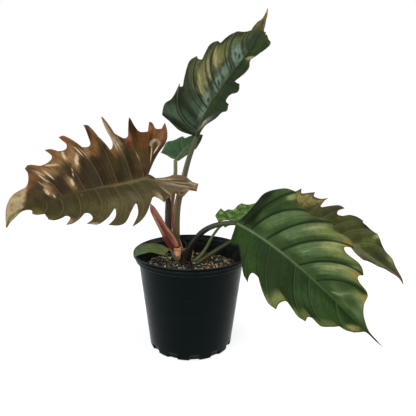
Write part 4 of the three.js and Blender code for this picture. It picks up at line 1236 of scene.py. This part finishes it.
def mix_limit(z):
    """Radius that the mix fills at a height."""
    return wall_radius(z) - WALL - MIX_GAP


def mix_level(x, y):
    r = np.hypot(x, y)
    mound = MIX_MOUND * 0.8 * (1 - (r / SHOULDER_RADIUS) ** 2)
    ripples = 1.1 * np.sin(0.21 * x + 1) * np.cos(0.17 * y) + 0.8 * np.sin(0.43 * y + 0.31 * x)
    return MIX_LEVEL + mound + ripples


def mix_material():
    g = Graph("mix")
    where = g.place()
    broad = g.noise(where, 60, 3, 0.6)
    fine = g.noise(where, 420, 5, 0.7)
    colour = g.mix(g.ramp(broad, 0.35, 0.65), (38, 36, 31), (66, 61, 52))
    colour = g.lay(colour, (140, 130, 112), g.ramp(fine, 0.5, 0.7), 0.5)
    normal = g.bump(g.plus(fine, g.times(broad, 0.7)), 0.002)
    return g.finish(Base_Color=colour, Roughness=0.9, Normal=normal)


def mix_piece(material):
    """The bed of mix: a coarse crumbly top on the filled shape beneath."""
    foot = BASE_ROUNDING + 2 * NOTCH_HEIGHT - 4
    turn = circle(MIX_AROUND)
    rim = mix_limit(MIX_LEVEL - 1)
    low = mix_limit(foot)
    edge = np.column_stack([low * np.cos(turn), low * np.sin(turn), np.full(MIX_AROUND, foot)])
    points = [np.array([[0, 0, foot]]), edge]
    for r in rim * np.sqrt(np.linspace(1, 0, MIX_RINGS + 1)[:-1]):
        x, y = r * np.cos(turn), r * np.sin(turn)
        flat = np.column_stack([x, y, 0 * x])
        lift = 1.2 * noise(flat, 4.5, 4) + 0.8 * noise(flat, 2.1, 5) + 0.9 * noise(flat, 13, 6)
        points.append(np.column_stack([x, y, mix_level(x, y) + lift * smooth(rim, rim - 3, r)]))
    points.append(np.array([[0, 0, float(mix_level(0, 0))]]))
    points = np.vstack(points)
    faces = capped(1, MIX_RINGS + 1, MIX_AROUND, 0, len(points) - 1)
    piece("mix_bed", points, faces, "potting_mix", material, "mix")


GOLDEN = (1 + 5**0.5) / 2
pairs = [(a, b * GOLDEN) for a in (-1, 1) for b in (-1, 1)]
CHIP_CORNERS = np.array(
    [(0, a, b) for a, b in pairs] + [(a, b, 0) for a, b in pairs] + [(b, 0, a) for a, b in pairs]
)


def chip_faces():
    """Faces of the 12-point solid that every chip starts from."""
    faces = []
    for i, j, k in combinations(range(12), 3):
        p, q, r = CHIP_CORNERS[[i, j, k]]
        sides = (p - q, q - r, p - r)
        if max(np.linalg.norm(side) for side in sides) < 2.01:  # neighbours are 2 apart
            faces.append((i, j, k) if np.cross(q - p, r - p) @ p > 0 else (i, k, j))
    return faces


CHIP_FACES = chip_faces()
STEM_MIDDLE = (-10.5, 4)
STEM_CLEAR = 7  # no chip's middle comes nearer to the stem's middle
CHIP_EDGE, CHIP_GAP = 3.5, 0.5  # from the mix's edge to the chips' middles, and to their corners
CHIP_TILT = 0.45


def flake(rng, size, flatness):
    """An angular chip: a squashed, knocked-about 12-point solid."""
    points = CHIP_CORNERS / np.linalg.norm(CHIP_CORNERS[0])
    points = points * (1 + 0.35 * (rng.random(points.shape) - 0.5))
    return points * size * np.array([1, 0.35 + 0.5 * rng.random(), flatness])


def chips(name, count, sizes, flatness, material, seed, weight):
    """Many loose chips half sunk in the mix. weight gives how likely a place is, from 0 to 1."""
    rng = np.random.default_rng(seed)
    limit = mix_limit(MIX_LEVEL)
    points, faces, tint = [], [], []
    while len(points) < count:
        r = (limit - CHIP_EDGE) * math.sqrt(rng.random())
        turn = math.tau * rng.random()
        x, y = r * math.cos(turn), r * math.sin(turn)
        near_stem = math.hypot(x - STEM_MIDDLE[0], y - STEM_MIDDLE[1]) < STEM_CLEAR
        if rng.random() > weight(x, y) or near_stem:
            continue
        size = sizes[0] + (sizes[1] - sizes[0]) * rng.random() ** 2
        chip = flake(rng, size, flatness)
        spin = Matrix.Rotation(math.tau * rng.random(), 3, "Z")
        tilt = spin @ Matrix.Rotation(rng.normal(0, CHIP_TILT), 3, "X")
        chip = chip @ np.array(tilt).T + (x, y, float(mix_level(x, y)) + 0.3 + 0.35 * size)
        reach = np.hypot(chip[:, 0], chip[:, 1])
        chip[:, :2] *= np.minimum(1, (limit - CHIP_GAP) / np.maximum(reach, 1e-6))[:, None]
        start = len(points) * 12
        points.append(chip)
        faces += [tuple(start + v for v in f) for f in CHIP_FACES]
        tint += [rng.random()] * 12
    piece(name, np.vstack(points), faces, "potting_mix", material, "mix", {"tint": tint}, sharp=25)


def chip_material(name, low, high, light):
    g = Graph(name)
    grain = g.noise(g.place(), (900, 260, 500), 4, 0.65)
    colour = g.mix(g.ramp(g.attribute("tint"), 0.1, 0.9), low, high)
    colour = g.lay(colour, light, g.ramp(grain, 0.45, 0.7), 0.5)
    return g.finish(Base_Color=colour, Roughness=0.85, Normal=g.bump(grain, 0.0004))


def thread(name, routes, radius, material, node, slot):
    """Thin roots or sticks that lie on the mix, as one piece."""
    points, faces, lie = [], [], []
    start = 0
    for route in routes:
        line = route_line(route, 0.8)
        radii = np.linspace(radius, 0.6 * radius, len(line))
        made, quads, along, angle = tube(line, radii, 8)
        points.append(made)
        faces += [tuple(start + v for v in f) for f in quads]
        lie.append(wrapped(angle, along + start))
        start += len(made)
    piece(name, np.vstack(points), faces, node, material, slot, {"lie": np.vstack(lie)}, sharp=60)


def in_front(x, y):
    """1 in the dark middle of the front, where few pale chips lie."""
    return float(smooth(24, 10, abs(x - 5)) * smooth(-18, -34, y))


def to_right(x, y):
    return (0.15 + 0.85 * float(smooth(-20, 40, x - 0.6 * y))) * (1 - 0.75 * in_front(x, y))


def to_left(x, y):
    return (0.2 + 0.8 * float(smooth(10, -30, x + 0.5 * y))) * (1 - 0.75 * in_front(x, y))


def anywhere(x, y):
    return 1.0


# Chips: material, three colours, then how many, smallest and largest size, flatness, seed, where.
CHIPS = {
    "bark_light": (
        "bark_light", (118, 92, 60), (206, 174, 126), (236, 214, 176),
        760, (0.5, 2.9), 0.28, 3, to_right,
    ),
    "bark_grey": (
        "bark_grey", (124, 120, 104), (206, 198, 178), (232, 226, 210),
        760, (0.5, 2.3), 0.3, 6, to_left,
    ),
    "bark_dark": (
        "bark_dark", (22, 19, 15), (50, 42, 34), (84, 74, 60), 800, (1.0, 3.4), 0.5, 4, anywhere,
    ),
    "perlite_grains": (
        "perlite", (206, 200, 184), (236, 232, 220), (244, 242, 236),
        150, (0.7, 2.5), 0.85, 5, anywhere,
    ),
}
PALE_ROOTS = (
    ((-0.2, 8, 117), (0.6, 24, 120), (1.3, 40, 126)),
    ((-14, 42, 121), (-10, 50, 122.5), (-7, 58, 120)),
    ((-13, -13, 115), (-10.5, -19, 117.5), (-9, -27, 115)),
    ((16, -8, 115), (22, -17, 116.5), (31, -20, 114)),
    ((-24, 2, 115), (-31, -9, 117), (-29, -21, 114.5)),
)
DARK_ROOTS = (
    ((-4, 1, 116), (2, -7, 118), (5, -15, 114)),
    ((-13, -3, 117), (-10, -11, 119), (-4, -19, 115)),
    ((-2, 12, 116), (6, 16, 118), (13, 22, 114)),
    ((-17, 9, 116), (-25, 10, 118), (-31, 16, 114)),
    ((-8, -2, 119), (-3, -9, 120.5), (0, -17, 116)),
    ((-12, 56, 118), (-10, 60, 125), (-15, 64, 132)),
)
# Stalk skins: slot, darker and lighter colour, streaks, how strong they are, roughness, the rest.
STALK_SKINS = {
    "stalk_caramel": ("stalk_purple", (36, 27, 15), (62, 48, 34), (124, 106, 94), 0.8, 0.42, {}),
    "stalk_top": ("stalk_olive", (90, 82, 52), (108, 98, 64), (66, 74, 46), 0.6, 0.45, dict(
        spots=(84, 66, 42), left=(168, 116, 84), far=((66, 76, 50), (70, 130)))),
    "stalk_small_back": (
        "stalk_grey", (160, 112, 84), (196, 146, 116), (130, 108, 76), 0.5, 0.48,
        dict(far=((98, 104, 78), (75, 115)))),
    "stalk_front": ("stalk_dark", (12, 14, 9), (24, 27, 18), (34, 38, 26), 0.5, 0.4, dict(
        far=((66, 74, 50), (38, 84)))),
    "stalk_small_right": (
        "stalk_green", (88, 102, 54), (112, 124, 70), (134, 144, 92), 0.5, 0.42, {}),
    "stalk_back": ("stalk_moss", (46, 52, 28), (64, 70, 40), (92, 98, 64), 0.5, 0.42, {}),
    "stalk_rim": ("stalk_rim", (84, 92, 60), (104, 110, 76), (120, 120, 88), 0.5, 0.45, {}),
}
# In the photo some stalks are thicker than their solids, and two bow further to one side (in mm).
PLUMP = {"stalk_caramel": 1.22, "stalk_small_back": 1.5, "stalk_top": 1.25, "stalk_front": 1.1}
NUDGE = {"stalk_caramel": 0.8, "stalk_small_back": -1.8}


# Building.
leaf("leaf_caramel", CARAMEL, "blade_caramel", puff=(0.35, 0.5))
leaf("leaf_top", GREEN_TOP, "blade_top", minor=0.8)
leaf("leaf_front", GREEN_FRONT, "blade_front", puff=(0.6, 0.3), groove=0.9)
leaf("leaf_back", BRONZE_BACK, "blade_back", puff=(0.6, 0.6))
leaf("leaf_small_right", YOUNG, "blade_small_right", spacing=1.2, crumple=0.7)
leaf("leaf_small_back", SMALL_BACK, "blade_small_back", spacing=1.2)
leaf("leaf_rim", RIM, "blade_rim", spacing=1.2)
leaf("leaf_sheath", SHEATH, "pink_sheath", spacing=1.2, crumple=0.1, groove=0, minor_groove=0)
for node, (base, tip, route) in STALKS.items():
    slot, *skin, rest = STALK_SKINS[node]
    radii = np.array((base, tip)) * PLUMP.get(node, 1)
    route = np.array(route, float)
    route[:, 0] += NUDGE.get(node, 0) * np.sin(np.linspace(0, math.pi, len(route)))
    material = streaked(slot, *skin, **rest)
    stem_piece(node + "_skin", node, route, radii, material, slot, lumps=0.05, groove=0.12)
crown = streaked(
    "stem", (20, 18, 13), (38, 33, 25), (60, 53, 42), 0.6, 0.75, spots=(14, 12, 9), bump=0.0012,
)
stem_piece("crown_skin", "crown_stem", STEM_ROUTE, STEM_RADII, crown, "stem", 0.12, around=40)
dry = streaked(
    "dry_sheath", (255, 176, 124), (255, 212, 166), (255, 242, 222), 0.6, 0.7,
    spots=(214, 112, 68), bump=0.0016,
)
stem_piece("dry_stub", "dry_sheath", STUMP_ROUTE, STUMP_RADII, dry, "dry_sheath", 0.3, around=40)
pot_piece(pot_material())
mix_piece(mix_material())
for name, (material, low, high, light, count, sizes, flatness, seed, where) in CHIPS.items():
    material = chip_material(material, low, high, light)
    chips(name, count, sizes, flatness, material, seed, where)
root = streaked("root", (128, 104, 62), (160, 134, 88), (186, 162, 118), 0.5, 0.6)
thread("roots_pale", PALE_ROOTS, 0.8, root, "potting_mix", "mix")
twig = streaked("twig", (24, 19, 15), (44, 36, 29), (70, 58, 46), 0.6, 0.75, bump=0.0008)
thread("roots_dark", DARK_ROOTS, 1.7, twig, "crown_stem", "stem")


# The stage, lights and camera.
FLOOR_RADIUS = 1.1
FLOOR_DROP = 0.0005
FLOOR_GLOW = 0.8
AIM = Vector((22.467, 0, 196.34)) * MM
DISTANCE = 568.34
PITCH = math.radians(11.868)
ROLL = math.radians(0.85)
SENSOR = 36
LENS = 415 / 416 * SENSOR


def placed(name, data):
    made = bpy.data.objects.new(name, data)
    bpy.context.scene.collection.objects.link(made)
    return made


def floor_piece():
    """A wide pale disc whose edge fades into the white round it."""
    mesh = bpy.data.meshes.new("floor")
    turns = [math.tau * j / 96 for j in range(96)]
    rim = [(FLOOR_RADIUS * math.cos(a), FLOOR_RADIUS * math.sin(a), 0) for a in turns]
    mesh.from_pydata(rim, [], [tuple(range(len(rim)))])
    g = Graph("floor_white")
    tint = g.mix(g.noise(g.place(), 3.0, 2, 0.5), (0.44,) * 3 + (1,), (0.48,) * 3 + (1,))
    x, y = (g.math("POWER", g.part(g.place(), axis), 2.0) for axis in "XY")
    away = g.math("SQRT", g.plus(x, y))
    g.finish(
        Base_Color=tint, Roughness=0.95, Specular_IOR_Level=0.1,
        Emission_Color=(0.94, 0.97, 1, 1), Emission_Strength=FLOOR_GLOW,
        Alpha=g.ramp(away, 0.7 * FLOOR_RADIUS, 0.98 * FLOOR_RADIUS, 1.0, 0.0),
    )
    mesh.materials.append(g.material)
    made = placed("floor", mesh)
    made.location.z = -FLOOR_DROP
    made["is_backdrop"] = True


def area_light(name, azimuth, elevation, distance, width, height, power, tint=(1, 1, 1)):
    """A softbox that faces the plant. Azimuth 0 is the front, and it turns towards the right."""
    az, el = math.radians(azimuth), math.radians(elevation)
    out = Vector((math.sin(az) * math.cos(el), -math.cos(az) * math.cos(el), math.sin(el)))
    data = bpy.data.lights.new(name, "AREA")
    data.shape = "RECTANGLE"
    data.size, data.size_y, data.energy, data.color = width, height, power, tint
    lamp = placed(name, data)
    lamp.location = AIM + out * distance
    lamp.rotation_euler = out.to_track_quat("Z", "Y").to_euler()
    lamp.visible_camera = False


floor_piece()
area_light("front_box", -22, 24, 1.6, 1.2, 0.9, 13, (1, 0.97, 0.9))
area_light("right_strip", 98, 24, 1.4, 0.5, 1.1, 9, (1, 0.86, 0.68))
area_light("top_box", 10, 78, 1.7, 1.6, 1.6, 15)
area_light("left_box", -100, 12, 1.5, 0.5, 1.2, 8, (0.84, 0.96, 1))

# Dim white light from all round, and plain white where the camera sees it.
world = bpy.data.worlds.new("studio")
bpy.context.scene.world = world
world.use_nodes = True
tree = world.node_tree
background = tree.nodes["Background"]
path = tree.nodes.new("ShaderNodeLightPath")
strength = tree.nodes.new("ShaderNodeMapRange")
strength.inputs["To Min"].default_value = 0.12
strength.inputs["To Max"].default_value = 1.0
tree.links.new(path.outputs["Is Camera Ray"], strength.inputs["Value"])
tree.links.new(strength.outputs["Result"], background.inputs["Strength"])
background.inputs["Color"].default_value = (1, 1, 1, 1)

camera_data = bpy.data.cameras.new("camera")
camera_data.lens = LENS
camera_data.sensor_width = SENSOR
camera_data.sensor_fit = "HORIZONTAL"
camera_data.clip_start = 0.01
camera = placed("camera", camera_data)
forward = Vector((0, math.cos(PITCH), -math.sin(PITCH)))
level_right = Vector((1, 0, 0))
level_up = level_right.cross(forward)
right = math.cos(ROLL) * level_right + math.sin(ROLL) * level_up
up = -math.sin(ROLL) * level_right + math.cos(ROLL) * level_up
turned = Matrix((right, up, -forward)).transposed().to_4x4()
turned.translation = AIM - forward * DISTANCE * MM
camera.matrix_world = turned
bpy.context.scene.camera = camera
bpy.context.scene.view_settings.view_transform = "Standard"

shown_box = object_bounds()
boxes = {"cad": cad_box, "visual": shown_box}
{key: [list(corner) for corner in box] for key, box in boxes.items()}
